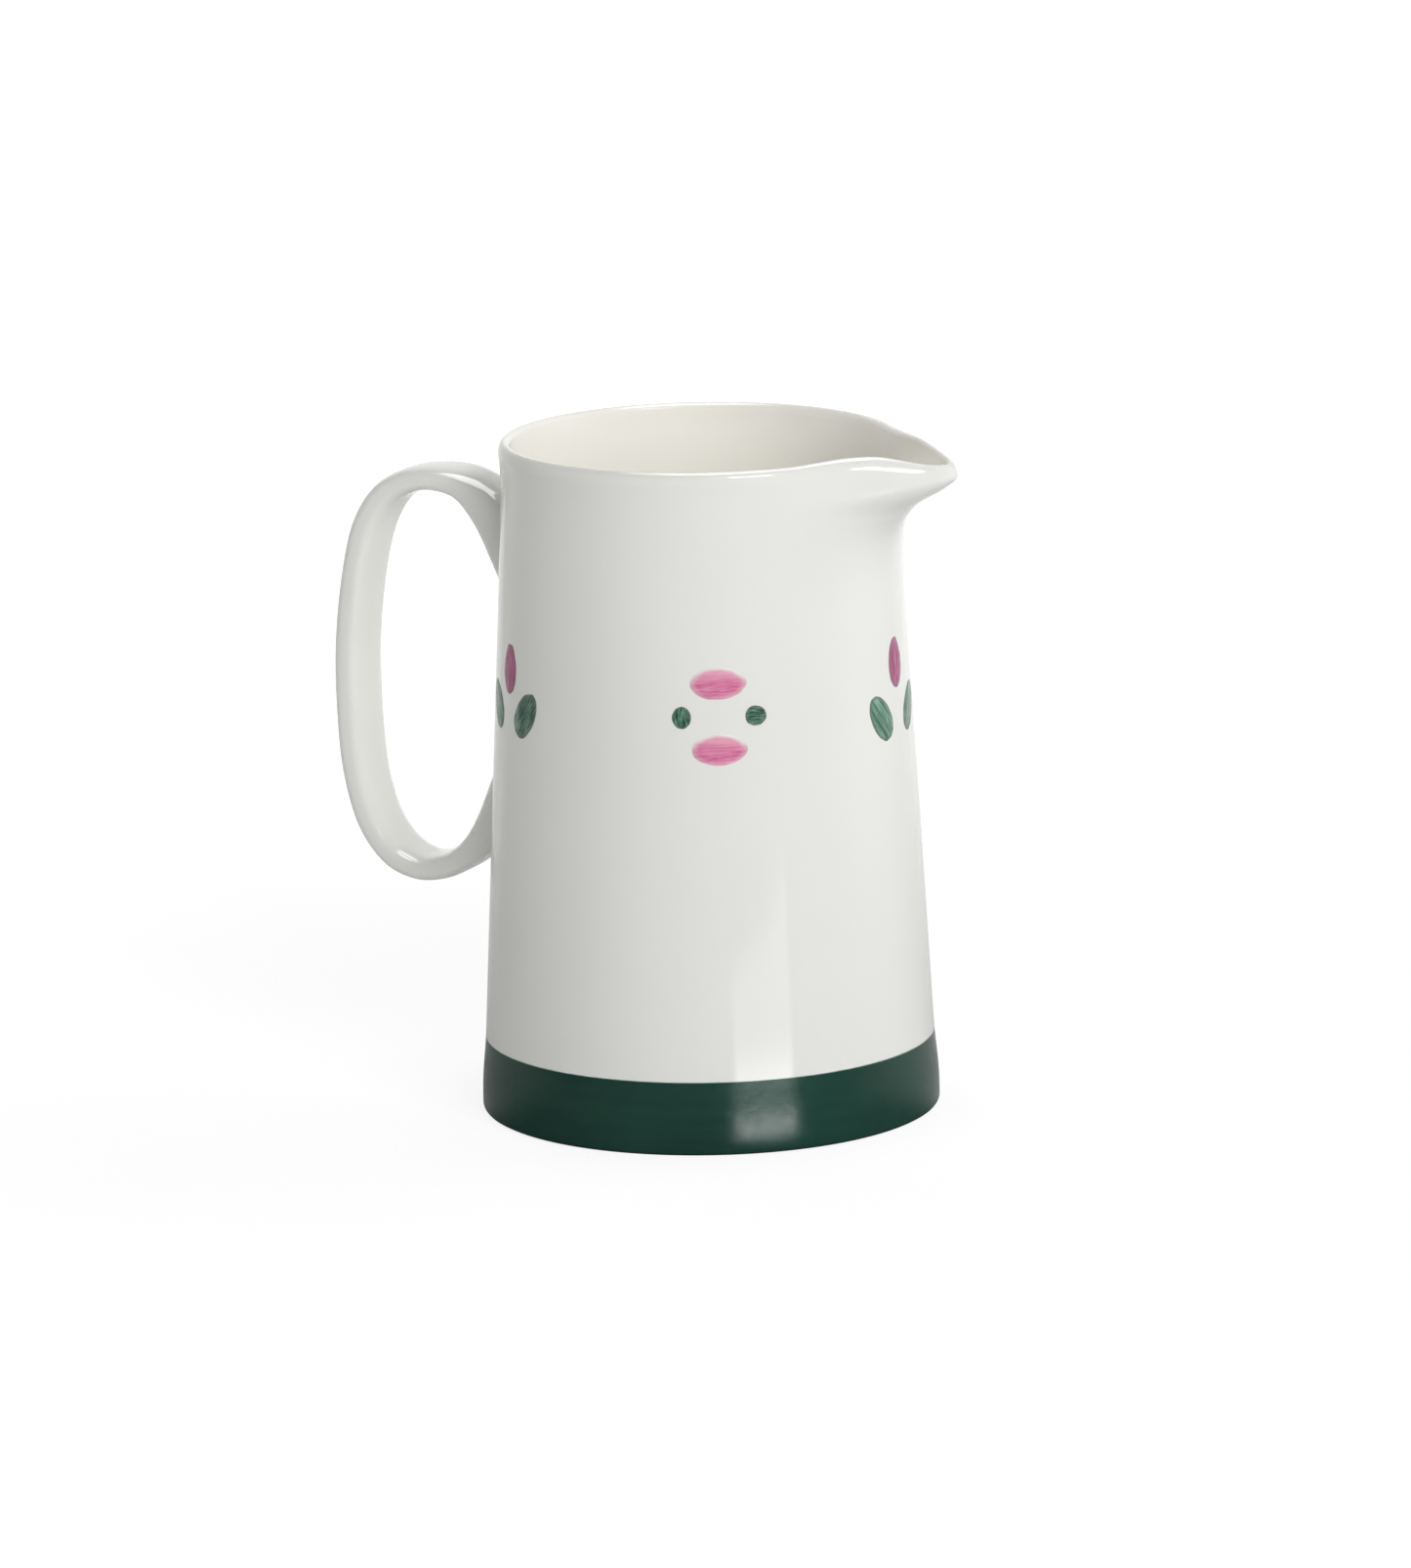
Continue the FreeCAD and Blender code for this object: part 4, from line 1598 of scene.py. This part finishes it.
@dataclass
class Painting:
    """The flowers under the lip and beside the handle, and the dab motifs between them."""

    form: PotForm = field(default_factory=PotForm)
    flowers: Tuple[Tuple[float, float, Tuple[float, float]], ...] = (
        (3.3, 0.85, (0.3, 0.1)),
        (-132.3, -0.75, (1.15, 0.45)),
        (132.3, 0.1, (0.4, 0.6)),
    )
    dab_angles: Tuple[float, ...] = (-60.0, 60.0)
    rings: int = 14
    spokes: int = 72
    proud: float = 0.14
    sink: float = 0.02
    wobble_scale: float = 1.7
    wobble_share: float = 0.16
    crown_power: float = 6.0
    crown_rise: float = 0.55
    crown_base: float = 0.45
    petal_level: float = 81.9
    leaf_level: float = 73.9
    leaf_shift: float = 6.3
    leaf_lean: float = 38.0
    dab_levels: Point2 = (83.2, 71.6)
    dot_level: float = 77.3
    dot_shift: float = 6.5
    flower_seed: float = 1.0
    flower_seed_step: float = 11.0
    dab_seed: float = 5.0
    dab_seed_step: float = 13.0

    def tree(self) -> ShapeTree:
        """The rule that lays one oval film for each point on the pot's wall.

        Returns:
            The tree, whose base mesh has a point for each stroke.
        """
        shape = ShapeTree("strokes_on_wall")
        spokes = shape.size("Spokes", "NodeSocketInt")
        rings = shape.size("Rings", "NodeSocketInt")
        proud = shape.size("Proud")
        sink = shape.size("Sink")
        wall = shape.size("Wall Radius")
        taper = shape.size("Wall Taper")
        material = shape.size("Finish", "NodeSocketMaterial")

        grid = shape.node("GeometryNodeMeshGrid")
        grid.inputs["Size X"].default_value = 1.0
        grid.inputs["Size Y"].default_value = 1.0
        feed(shape.tree, spokes + 1.0, grid.inputs["Vertices X"])
        feed(shape.tree, rings, grid.inputs["Vertices Y"])
        grid_place = shape.node("GeometryNodeInputPosition").outputs[0]
        spot = shape.node("ShaderNodeSeparateXYZ", Vector=grid_place)
        turn = (Field(shape.tree, spot.outputs["X"]) + 0.5) * (2.0 * math.pi)
        down = Field(shape.tree, spot.outputs["Y"]) + 0.5
        film = shape.store(grid.outputs["Mesh"], "turn", turn)
        film = shape.store(film, "down", down)
        places = shape.node("GeometryNodeMeshToPoints")
        feed(shape.tree, shape.entry.outputs["Geometry"], places.inputs["Mesh"])
        spread = shape.node(
            "GeometryNodeInstanceOnPoints", Points=places.outputs["Points"], Instance=film
        )
        real = shape.node("GeometryNodeRealizeInstances", Geometry=spread.outputs["Instances"])

        turn = shape.attribute("turn")
        down = shape.attribute("down")
        seed = shape.attribute("stroke_seed")
        edge = (down * 2.0).math("MINIMUM", 1.0)
        under = down.math("GREATER_THAN", 0.5)
        reach = edge - under * (down * 2.0 - 1.0)
        along_unit, across_unit = turn.math("COSINE"), turn.math("SINE")
        wobble_place = shape.combine(along_unit, across_unit, seed)
        wobble = noise(shape.tree, wobble_place, self.wobble_scale, 2.0) - 0.5
        size = 1.0 + wobble * self.wobble_share
        tip = 1.0 - shape.attribute("point") * along_unit * 0.5
        along = along_unit * reach * size
        across = across_unit * reach * size * tip
        length = shape.attribute("length") * 0.5
        width = shape.attribute("width") * 0.5
        lean = shape.attribute("lean")
        side = along * length * lean.math("COSINE") - across * width * lean.math("SINE")
        rise = along * length * lean.math("SINE") + across * width * lean.math("COSINE")
        height = shape.attribute("height") + rise
        surface = wall - taper * height
        dome = 1.0 - reach.math("POWER", self.crown_power)
        crown = dome * self.crown_rise + self.crown_base
        level = (1.0 - under) * crown * proud - under * sink
        round_edge = 1.0 - down.math("COMPARE", 0.5, 0.001)
        radius = surface + level * round_edge
        angle = shape.attribute("angle") + (shape.attribute("shift") + side) / surface
        moved = shape.node(
            "GeometryNodeSetPosition",
            Geometry=real.outputs["Geometry"],
            Position=shape.combine(
                radius * angle.math("COSINE"), radius * angle.math("SINE"), height
            ),
        )
        painted = shape.store(moved.outputs["Geometry"], "stroke_along", along_unit * reach)
        painted = shape.store(painted, "stroke_across", across_unit * reach)
        shape.finish(painted, material)
        return shape

    def flower(
        self, angle: float, seed: float, drop: float, loads: Tuple[float, float]
    ) -> Tuple[List[Stroke], List[Stroke]]:
        """One flower: an upright petal over two leaves that lean outwards.

        Args:
            angle: Where it stands round the pot, in degrees.
            seed: A number of its own, for its brush marks.
            drop: How far its leaves hang below the others' mean, in mm.
            loads: How full of paint each leaf is, from 0 to 1.

        Returns:
            The petal and the leaves.
        """
        level = self.leaf_level - drop
        shift, lean = self.leaf_shift, self.leaf_lean
        petal = Stroke(
            angle, shift=0.0, height=self.petal_level, length=9.0, width=5.4,
            lean=90.0, point=0.18, seed=seed, load=0.45,
        )
        leaves = [
            Stroke(
                angle, shift=shift, height=level, length=9.5, width=5.9,
                lean=90.0 - lean, point=0.2, seed=seed + 3.1, load=loads[0],
            ),
            Stroke(
                angle, shift=-shift, height=level, length=9.4, width=5.9,
                lean=90.0 + lean, point=0.2, seed=seed + 5.7, load=loads[1],
            ),
        ]
        return [petal], leaves

    def dab_motif(self, angle: float, seed: float) -> Tuple[List[Stroke], List[Stroke]]:
        """One dab motif: two level dabs with a dot at either side between them.

        Args:
            angle: Where it stands round the pot, in degrees.
            seed: A number of its own, for its brush marks.

        Returns:
            The dabs and the dots.
        """
        upper, lower = self.dab_levels
        level, shift = self.dot_level, self.dot_shift
        dabs = [
            Stroke(
                angle, shift=0.0, height=upper, length=9.8, width=5.7,
                lean=0.0, point=0.12, seed=seed, load=0.5,
            ),
            Stroke(
                angle, shift=0.0, height=lower, length=9.75, width=5.6,
                lean=0.0, point=0.12, seed=seed + 2.3, load=0.35,
            ),
        ]
        dots = [
            Stroke(
                angle, shift=shift, height=level, length=3.8, width=3.6,
                lean=0.0, point=0.0, seed=seed + 4.9, load=0.7,
            ),
            Stroke(
                angle, shift=-shift, height=level, length=3.9, width=3.3,
                lean=90.0, point=0.0, seed=seed + 6.1, load=0.6,
            ),
        ]
        return dabs, dots

    def points(self, name: str, strokes: Sequence[Stroke]) -> bpy.types.Mesh:
        """A mesh with one point for each stroke, which carries the stroke's numbers.

        Args:
            name: The mesh's name.
            strokes: The strokes.

        Returns:
            The mesh of loose points.
        """
        mesh = bpy.data.meshes.new(name)
        mesh.from_pydata([(0.0, 0.0, 0.0)] * len(strokes), [], [])
        columns = {
            "angle": [math.radians(stroke.angle) for stroke in strokes],
            "shift": [stroke.shift * MM for stroke in strokes],
            "height": [stroke.height * MM for stroke in strokes],
            "length": [stroke.length * MM for stroke in strokes],
            "width": [stroke.width * MM for stroke in strokes],
            "lean": [math.radians(stroke.lean) for stroke in strokes],
            "point": [stroke.point for stroke in strokes],
            "stroke_seed": [stroke.seed for stroke in strokes],
            "stroke_load": [stroke.load for stroke in strokes],
        }
        for attribute, values in columns.items():
            layer = mesh.attributes.new(attribute, "FLOAT", "POINT")
            layer.data.foreach_set("value", values)
        return mesh

    def build(self, finishes: Dict[Slot, bpy.types.Material]) -> None:
        """Makes the petals, leaves, dabs and dots.

        Args:
            finishes: The materials by slot.
        """
        petals, leaves, dabs, dots = [], [], [], []
        for index, (angle, drop, loads) in enumerate(self.flowers):
            seed = self.flower_seed_step * index + self.flower_seed
            petal, pair = self.flower(angle, seed, drop, loads)
            petals += petal
            leaves += pair
        for index, angle in enumerate(self.dab_angles):
            seed = self.dab_seed_step * index + self.dab_seed
            level, round_dots = self.dab_motif(angle, seed)
            dabs += level
            dots += round_dots
        tree = self.tree()
        for name, slot, strokes in (
            ("flower_petals", Slot.PETAL, petals),
            ("flower_leaves", Slot.LEAF, leaves),
            ("pink_dabs", Slot.DAB, dabs),
            ("green_dots", Slot.LEAF, dots),
        ):
            values = {
                "Spokes": self.spokes,
                "Rings": 2 * self.rings + 1,
                "Proud": self.proud * MM,
                "Sink": self.sink * MM,
                "Wall Radius": self.form.foot_line_radius * MM,
                "Wall Taper": self.form.wall_taper,
                "Finish": finishes[slot],
            }
            piece = grow("jug_" + name, self.points(name + "_places", strokes), tree, values)
            settle(piece, slot, name)


# ---------------------------------------------------------------------------- the studio


@dataclass(frozen=True)
class SoftBox:
    """One soft box.

    It stands some degrees round from the camera's side to its right, some degrees above the
    table and some metres from the jug. It has a width and height in metres and a power in
    watts, and is mirrored if the glaze shows it.
    """

    name: str
    azimuth: float
    elevation: float
    distance: float
    size: Tuple[float, float]
    power: float
    mirrored: bool = True


@dataclass
class Studio:
    """A white table, soft light from the front right and from above, and the camera.

    Reflections see a surround of their own, from the mirror_ and card_ values, which are
    strengths where 1 is white. It is dim in front and far brighter than white overhead and on
    the card. Spans are where a change starts and ends: of a direction's share towards the
    right, the back or the top, or in metres on the table.
    """

    camera_place: Tuple[float, float, float] = (0.8057, -1.6519, 0.45885)
    azimuth: float = 26.0
    pitch: float = 12.316
    roll: float = -1.1235
    lens: float = 244.25
    sensor: float = 36.0
    floor_size: float = 6.0
    floor_tone: float = 0.76
    seen_tone: float = 0.2
    seen_glow: float = 0.84
    room_light: float = 0.13
    mirror_front: float = 0.11
    mirror_left: float = 0.50
    mirror_right: float = 0.85
    mirror_back: float = 0.40
    mirror_near: float = 0.50
    mirror_above: float = 8.0
    mirror_above_left: float = 2.0
    card_near: float = 5.6
    card_far: float = 1.3
    card_azimuths: Tuple[float, float] = (12.0, 42.0)
    wall_radius: float = 0.040
    clip: Point2 = (0.1, 20.0)
    lamp_aim_height: float = 0.06
    sky_colour: Colour = (0.985, 0.99, 1.0)
    glow_rise: float = 0.2
    glow_span: Point2 = (0.08, 0.6)
    ceiling_span: Point2 = (0.89, 0.93)
    ceiling_side_span: Point2 = (-0.45, -0.12)
    side_span: Point2 = (-0.6, 0.6)
    front_span: Point2 = (-0.45, 0.05)
    back_span: Point2 = (0.5, 1.0)
    table_span: Point2 = (0.02, 0.5)
    card_slant: float = -0.28
    card_end_span: Point2 = (0.245, 0.263)
    card_edge_soft: float = 0.003
    card_fade_span: Point2 = (0.10, 0.19)
    card_start_span: Point2 = (0.006, 0.022)
    boxes: Tuple[SoftBox, ...] = (
        SoftBox("key_softbox", 20.0, 25.0, 1.2, (0.66, 0.56), 7.1, False),
        SoftBox("key_panel", 28.0, 34.0, 1.2, (0.42, 0.17), 2.3),
        SoftBox("side_softbox", 115.0, 36.0, 1.2, (0.9, 0.9), 4.0, False),
        SoftBox("low_side_panel", 82.0, 4.0, 1.3, (1.0, 0.3), 1.4, False),
        SoftBox("back_softbox", 180.0, 42.0, 1.2, (1.0, 0.8), 3.0, False),
        SoftBox("rear_left_softbox", -140.0, 20.0, 1.2, (0.9, 0.7), 5.0, False),
        SoftBox("left_fill", -60.0, 12.0, 1.2, (0.8, 0.6), 1.4, False),
    )

    def build(self) -> None:
        """Makes the floor, the lights, the world and the camera."""
        self.view()
        self.floor()
        self.world()
        for box in self.boxes:
            self.lamp(box)
        self.camera()

    def view(self) -> None:
        """Sets the plain view transform."""
        bpy.context.scene.view_settings.view_transform = "Standard"

    def camera(self) -> None:
        """Adds the camera."""
        data = bpy.data.cameras.new("camera")
        data.sensor_fit = "AUTO"
        data.sensor_width = self.sensor
        data.lens = self.lens
        data.clip_start, data.clip_end = self.clip
        camera = bpy.data.objects.new("camera", data)
        turn = Matrix.Rotation(math.radians(self.azimuth), 4, "Z")
        tip = Matrix.Rotation(math.radians(90.0 - self.pitch), 4, "X")
        roll = Matrix.Rotation(math.radians(self.roll), 4, "Z")
        camera.matrix_world = Matrix.Translation(self.camera_place) @ turn @ tip @ roll
        bpy.context.scene.collection.objects.link(camera)
        bpy.context.scene.camera = camera

    def floor(self) -> None:
        """Adds the white table that takes the jug's soft shadow."""
        shape = bmesh.new()
        bmesh.ops.create_grid(shape, x_segments=8, y_segments=8, size=self.floor_size / 2.0)
        mesh = bpy.data.meshes.new("table_top")
        shape.to_mesh(mesh)
        shape.free()
        material = bpy.data.materials.new("white_table")
        material.use_nodes = True
        tree = material.node_tree
        shader = tree.nodes["Principled BSDF"]
        shader.inputs["Base Color"].default_value = (*(self.floor_tone,) * 3, 1.0)
        shader.inputs["Roughness"].default_value = 0.9
        shader.inputs["Specular IOR Level"].default_value = 0.1
        place_on_table = add_node(tree, "ShaderNodeTexCoord").outputs["Object"]
        right, behind = self.across_view(tree, place_on_table)
        away = (right * right + behind * behind).math("SQRT").smooth(*self.glow_span)
        strength = away * self.glow_rise + self.seen_glow
        glow = add_node(tree, "ShaderNodeEmission", Strength=strength)
        shade = add_node(tree, "ShaderNodeBsdfDiffuse")
        shade.inputs["Color"].default_value = (*(self.seen_tone,) * 3, 1.0)
        seen = add_node(tree, "ShaderNodeAddShader")
        tree.links.new(glow.outputs[0], seen.inputs[0])
        tree.links.new(shade.outputs[0], seen.inputs[1])
        mirrored = add_node(tree, "ShaderNodeEmission", Strength=self.table_mirrored(tree))
        self.by_ray(tree, shader, mirrored, seen, tree.nodes["Material Output"])
        mesh.materials.append(material)
        place("table_top", mesh)

    def world(self) -> None:
        """Lights the room softly, and shows it white to the camera."""
        world = bpy.data.worlds.new("white_room")
        bpy.context.scene.world = world
        world.use_nodes = True
        tree = world.node_tree
        direction = add_node(tree, "ShaderNodeTexCoord").outputs["Generated"]
        right, behind = self.across_view(tree, direction)
        above = self.towards(tree, direction, (0.0, 0.0, 1.0)).smooth(*self.ceiling_span)
        brighter = self.mirror_above - self.mirror_above_left
        ceiling = right.smooth(*self.ceiling_side_span) * brighter + self.mirror_above_left
        soft = tree.nodes["Background"]
        soft.inputs["Color"].default_value = (*self.sky_colour, 1.0)
        soft.inputs["Strength"].default_value = self.room_light
        strength = self.room_mirrored(right, behind) + above * ceiling
        mirrored = add_node(tree, "ShaderNodeBackground", Strength=strength)
        seen = add_node(tree, "ShaderNodeBackground", Strength=1.0)
        for node in (mirrored, seen):
            node.inputs["Color"].default_value = (1.0, 1.0, 1.0, 1.0)
        self.by_ray(tree, soft, mirrored, seen, tree.nodes["World Output"])

    def by_ray(
        self, tree: bpy.types.NodeTree, lit: bpy.types.Node, mirrored: bpy.types.Node,
        seen: bpy.types.Node, output: bpy.types.Node,
    ) -> None:
        """Shows one shader to the light's bounces, one to reflections and one to the camera.

        Args:
            tree: The tree of the material or the world.
            lit: What the light's bounces see.
            mirrored: What reflections see.
            seen: What the camera sees.
            output: The tree's output node.
        """
        path = add_node(tree, "ShaderNodeLightPath")
        first = add_node(tree, "ShaderNodeMixShader")
        second = add_node(tree, "ShaderNodeMixShader")
        tree.links.new(path.outputs["Is Glossy Ray"], first.inputs[0])
        tree.links.new(lit.outputs[0], first.inputs[1])
        tree.links.new(mirrored.outputs[0], first.inputs[2])
        tree.links.new(path.outputs["Is Camera Ray"], second.inputs[0])
        tree.links.new(first.outputs[0], second.inputs[1])
        tree.links.new(seen.outputs[0], second.inputs[2])
        tree.links.new(second.outputs[0], output.inputs["Surface"])

    def across_view(
        self, tree: bpy.types.NodeTree, place: bpy.types.NodeSocket
    ) -> Tuple[Field, Field]:
        """How far a place or direction lies to the studio's right, and behind the jug.

        Args:
            tree: The tree that measures it.
            place: The place or direction.

        Returns:
            The two distances.
        """
        turn = math.radians(self.azimuth)
        right = self.towards(tree, place, (math.cos(turn), math.sin(turn), 0.0))
        behind = self.towards(tree, place, (-math.sin(turn), math.cos(turn), 0.0))
        return right, behind

    def table_mirrored(self, tree: bpy.types.NodeTree) -> Field:
        """The table as the glaze mirrors it: dim in front and close by, paler behind.

        A bright card lies in front to the right: a painted reflection, a glow that only
        reflections see. Its two long edges are the lines on which the wall mirrors the directions
        card_azimuths. The dimming close by is a painted shadow of the jug on the table, as
        reflections see it.

        Args:
            tree: The floor's tree.

        Returns:
            The strength of its light.
        """
        place = add_node(tree, "ShaderNodeTexCoord").outputs["Object"]
        right, behind = self.across_view(tree, place)
        reach = (right * right + behind * behind).math("SQRT")
        around = reach + 0.001
        # Painted shadow: the table's mirrored light is dimmer close to the jug.
        far = reach.smooth(*self.table_span) * (1.0 - self.mirror_near) + self.mirror_near
        white = self.room_mirrored(right / around, behind / around) * far
        card = 1.0 - (right * self.card_slant - behind).smooth(*self.card_end_span)
        for side, azimuth in zip((1.0, -1.0), self.card_azimuths):
            turn = math.radians(azimuth)
            past = (right * math.cos(turn) + behind * math.sin(turn)) * side
            line = -side * self.wall_radius * math.sin(turn / 2.0)
            card = card * past.smooth(line - self.card_edge_soft, line + self.card_edge_soft)
        # Painted reflection: the card glows for reflections only, brightest close to the jug.
        close = 1.0 - reach.smooth(*self.card_fade_span)
        painted_bright = close * (self.card_near - self.card_far) + self.card_far
        start = (reach - self.wall_radius).smooth(*self.card_start_span)
        return white + card * start * painted_bright

    def room_mirrored(self, right: Field, behind: Field) -> Field:
        """The room as the glaze mirrors it: dim in front, paler at the sides and behind.

        Args:
            right: How far the direction points to the right, from -1 to 1.
            behind: How far it points behind the jug, from -1 to 1.

        Returns:
            The strength of its light.
        """
        rightward = right.smooth(*self.side_span)
        level = rightward * (self.mirror_right - self.mirror_left) + self.mirror_left
        side = behind.smooth(*self.front_span) * (level - self.mirror_front)
        return side + behind.smooth(*self.back_span) * self.mirror_back + self.mirror_front

    def towards(
        self, tree: bpy.types.NodeTree, direction: bpy.types.NodeSocket, aim: Sequence[float]
    ) -> Field:
        """How far a direction points along another, from -1 to 1.

        Args:
            tree: The tree that measures it.
            direction: The direction, or a place seen from the middle of the table.
            aim: The other direction, of length 1.

        Returns:
            The distance along it.
        """
        node = add_node(tree, "ShaderNodeVectorMath")
        node.operation = "DOT_PRODUCT"
        feed(tree, direction, node.inputs[0])
        node.inputs[1].default_value = aim
        return Field(tree, node.outputs["Value"])

    def lamp(self, box: SoftBox) -> None:
        """Adds one soft box, which faces the jug.

        Args:
            box: The soft box.
        """
        data = bpy.data.lights.new(box.name, "AREA")
        data.shape = "RECTANGLE"
        data.size, data.size_y = box.size
        data.energy = box.power
        lamp = bpy.data.objects.new(box.name, data)
        turn = math.radians(self.azimuth + box.azimuth)
        rise = math.radians(box.elevation)
        away = Vector((
            math.sin(turn) * math.cos(rise), -math.cos(turn) * math.cos(rise), math.sin(rise)
        ))
        lamp.location = Vector((0.0, 0.0, self.lamp_aim_height)) + away * box.distance
        lamp.rotation_euler = (-away).to_track_quat("-Z", "Y").to_euler()
        lamp.visible_glossy = box.mirrored
        bpy.context.scene.collection.objects.link(lamp)


def finishes() -> Dict[Slot, bpy.types.Material]:
    """Builds every finish once.

    Returns:
        The materials by slot.
    """
    surface = glaze_surface_group()
    brush = brush_stroke_group()
    white = screen_colour(232, 232, 228)
    white_shade = screen_colour(229, 229, 225)
    # Painted light: the handle's white is the body's glaze painted lighter, standing in for the
    # extra light that falls on the handle.
    painted_bright = screen_colour(241, 241, 237)
    # Painted light: the lining's ivory is its own tint, painted lighter than the outer white to
    # stand in for the light that fills the jug.
    ivory = screen_colour(248, 246, 239)
    ivory_shade = screen_colour(245, 243, 235)
    green = screen_colour(30, 66, 56)
    teal = screen_colour(92, 128, 122)
    return {
        Slot.CLAY: BiscuitClay(
            "biscuit_clay", screen_colour(222, 216, 204), screen_colour(208, 200, 186)
        ).build(surface),
        Slot.GLAZE: PorcelainGlaze(
            "white_glaze", white, white_shade, inside=ivory, fringe=teal
        ).build(surface),
        Slot.LINING: PorcelainGlaze("ivory_lining", ivory, ivory_shade).build(surface),
        Slot.BAND: BandGlaze(
            "green_band", green, screen_colour(26, 58, 50), teal, 13.0 * MM
        ).build(surface),
        # Painted light: the handle takes the lighter white, a lit copy of the body's glaze.
        Slot.HANDLE: PorcelainGlaze("handle_glaze", painted_bright, white).build(surface),
        Slot.JOINT: PorcelainGlaze("slip_joint", white, white_shade).build(surface),
        Slot.PETAL: StrokePaint(
            "magenta_stroke",
            screen_colour(188, 84, 134),
            screen_colour(132, 48, 94),
            screen_colour(222, 134, 174),
            screen_colour(120, 52, 92),
            edge_share=0.8,
        ).build(brush),
        Slot.LEAF: StrokePaint(
            "green_stroke",
            screen_colour(80, 132, 106),
            screen_colour(24, 64, 56),
            screen_colour(160, 196, 172),
            screen_colour(32, 72, 62),
            pale_share=0.75,
        ).build(brush),
        Slot.DAB: StrokePaint(
            "pink_stroke",
            screen_colour(222, 138, 170),
            screen_colour(198, 92, 140),
            screen_colour(232, 176, 194),
            screen_colour(196, 104, 146),
            edge_share=0.3,
            upper_pale=0.75,
            fade=0.35,
        ).build(brush),
    }


def main() -> None:
    """Builds the jug's pieces in order, then the studio round them."""
    logging.basicConfig(level=logging.INFO, format="%(name)s %(message)s")
    materials = finishes()
    PotShell().build(materials)
    StrapHandle().build(materials)
    Painting().build(materials)
    Studio().build()
    log.info("size file written")


if __name__ == "__main__":
    main()
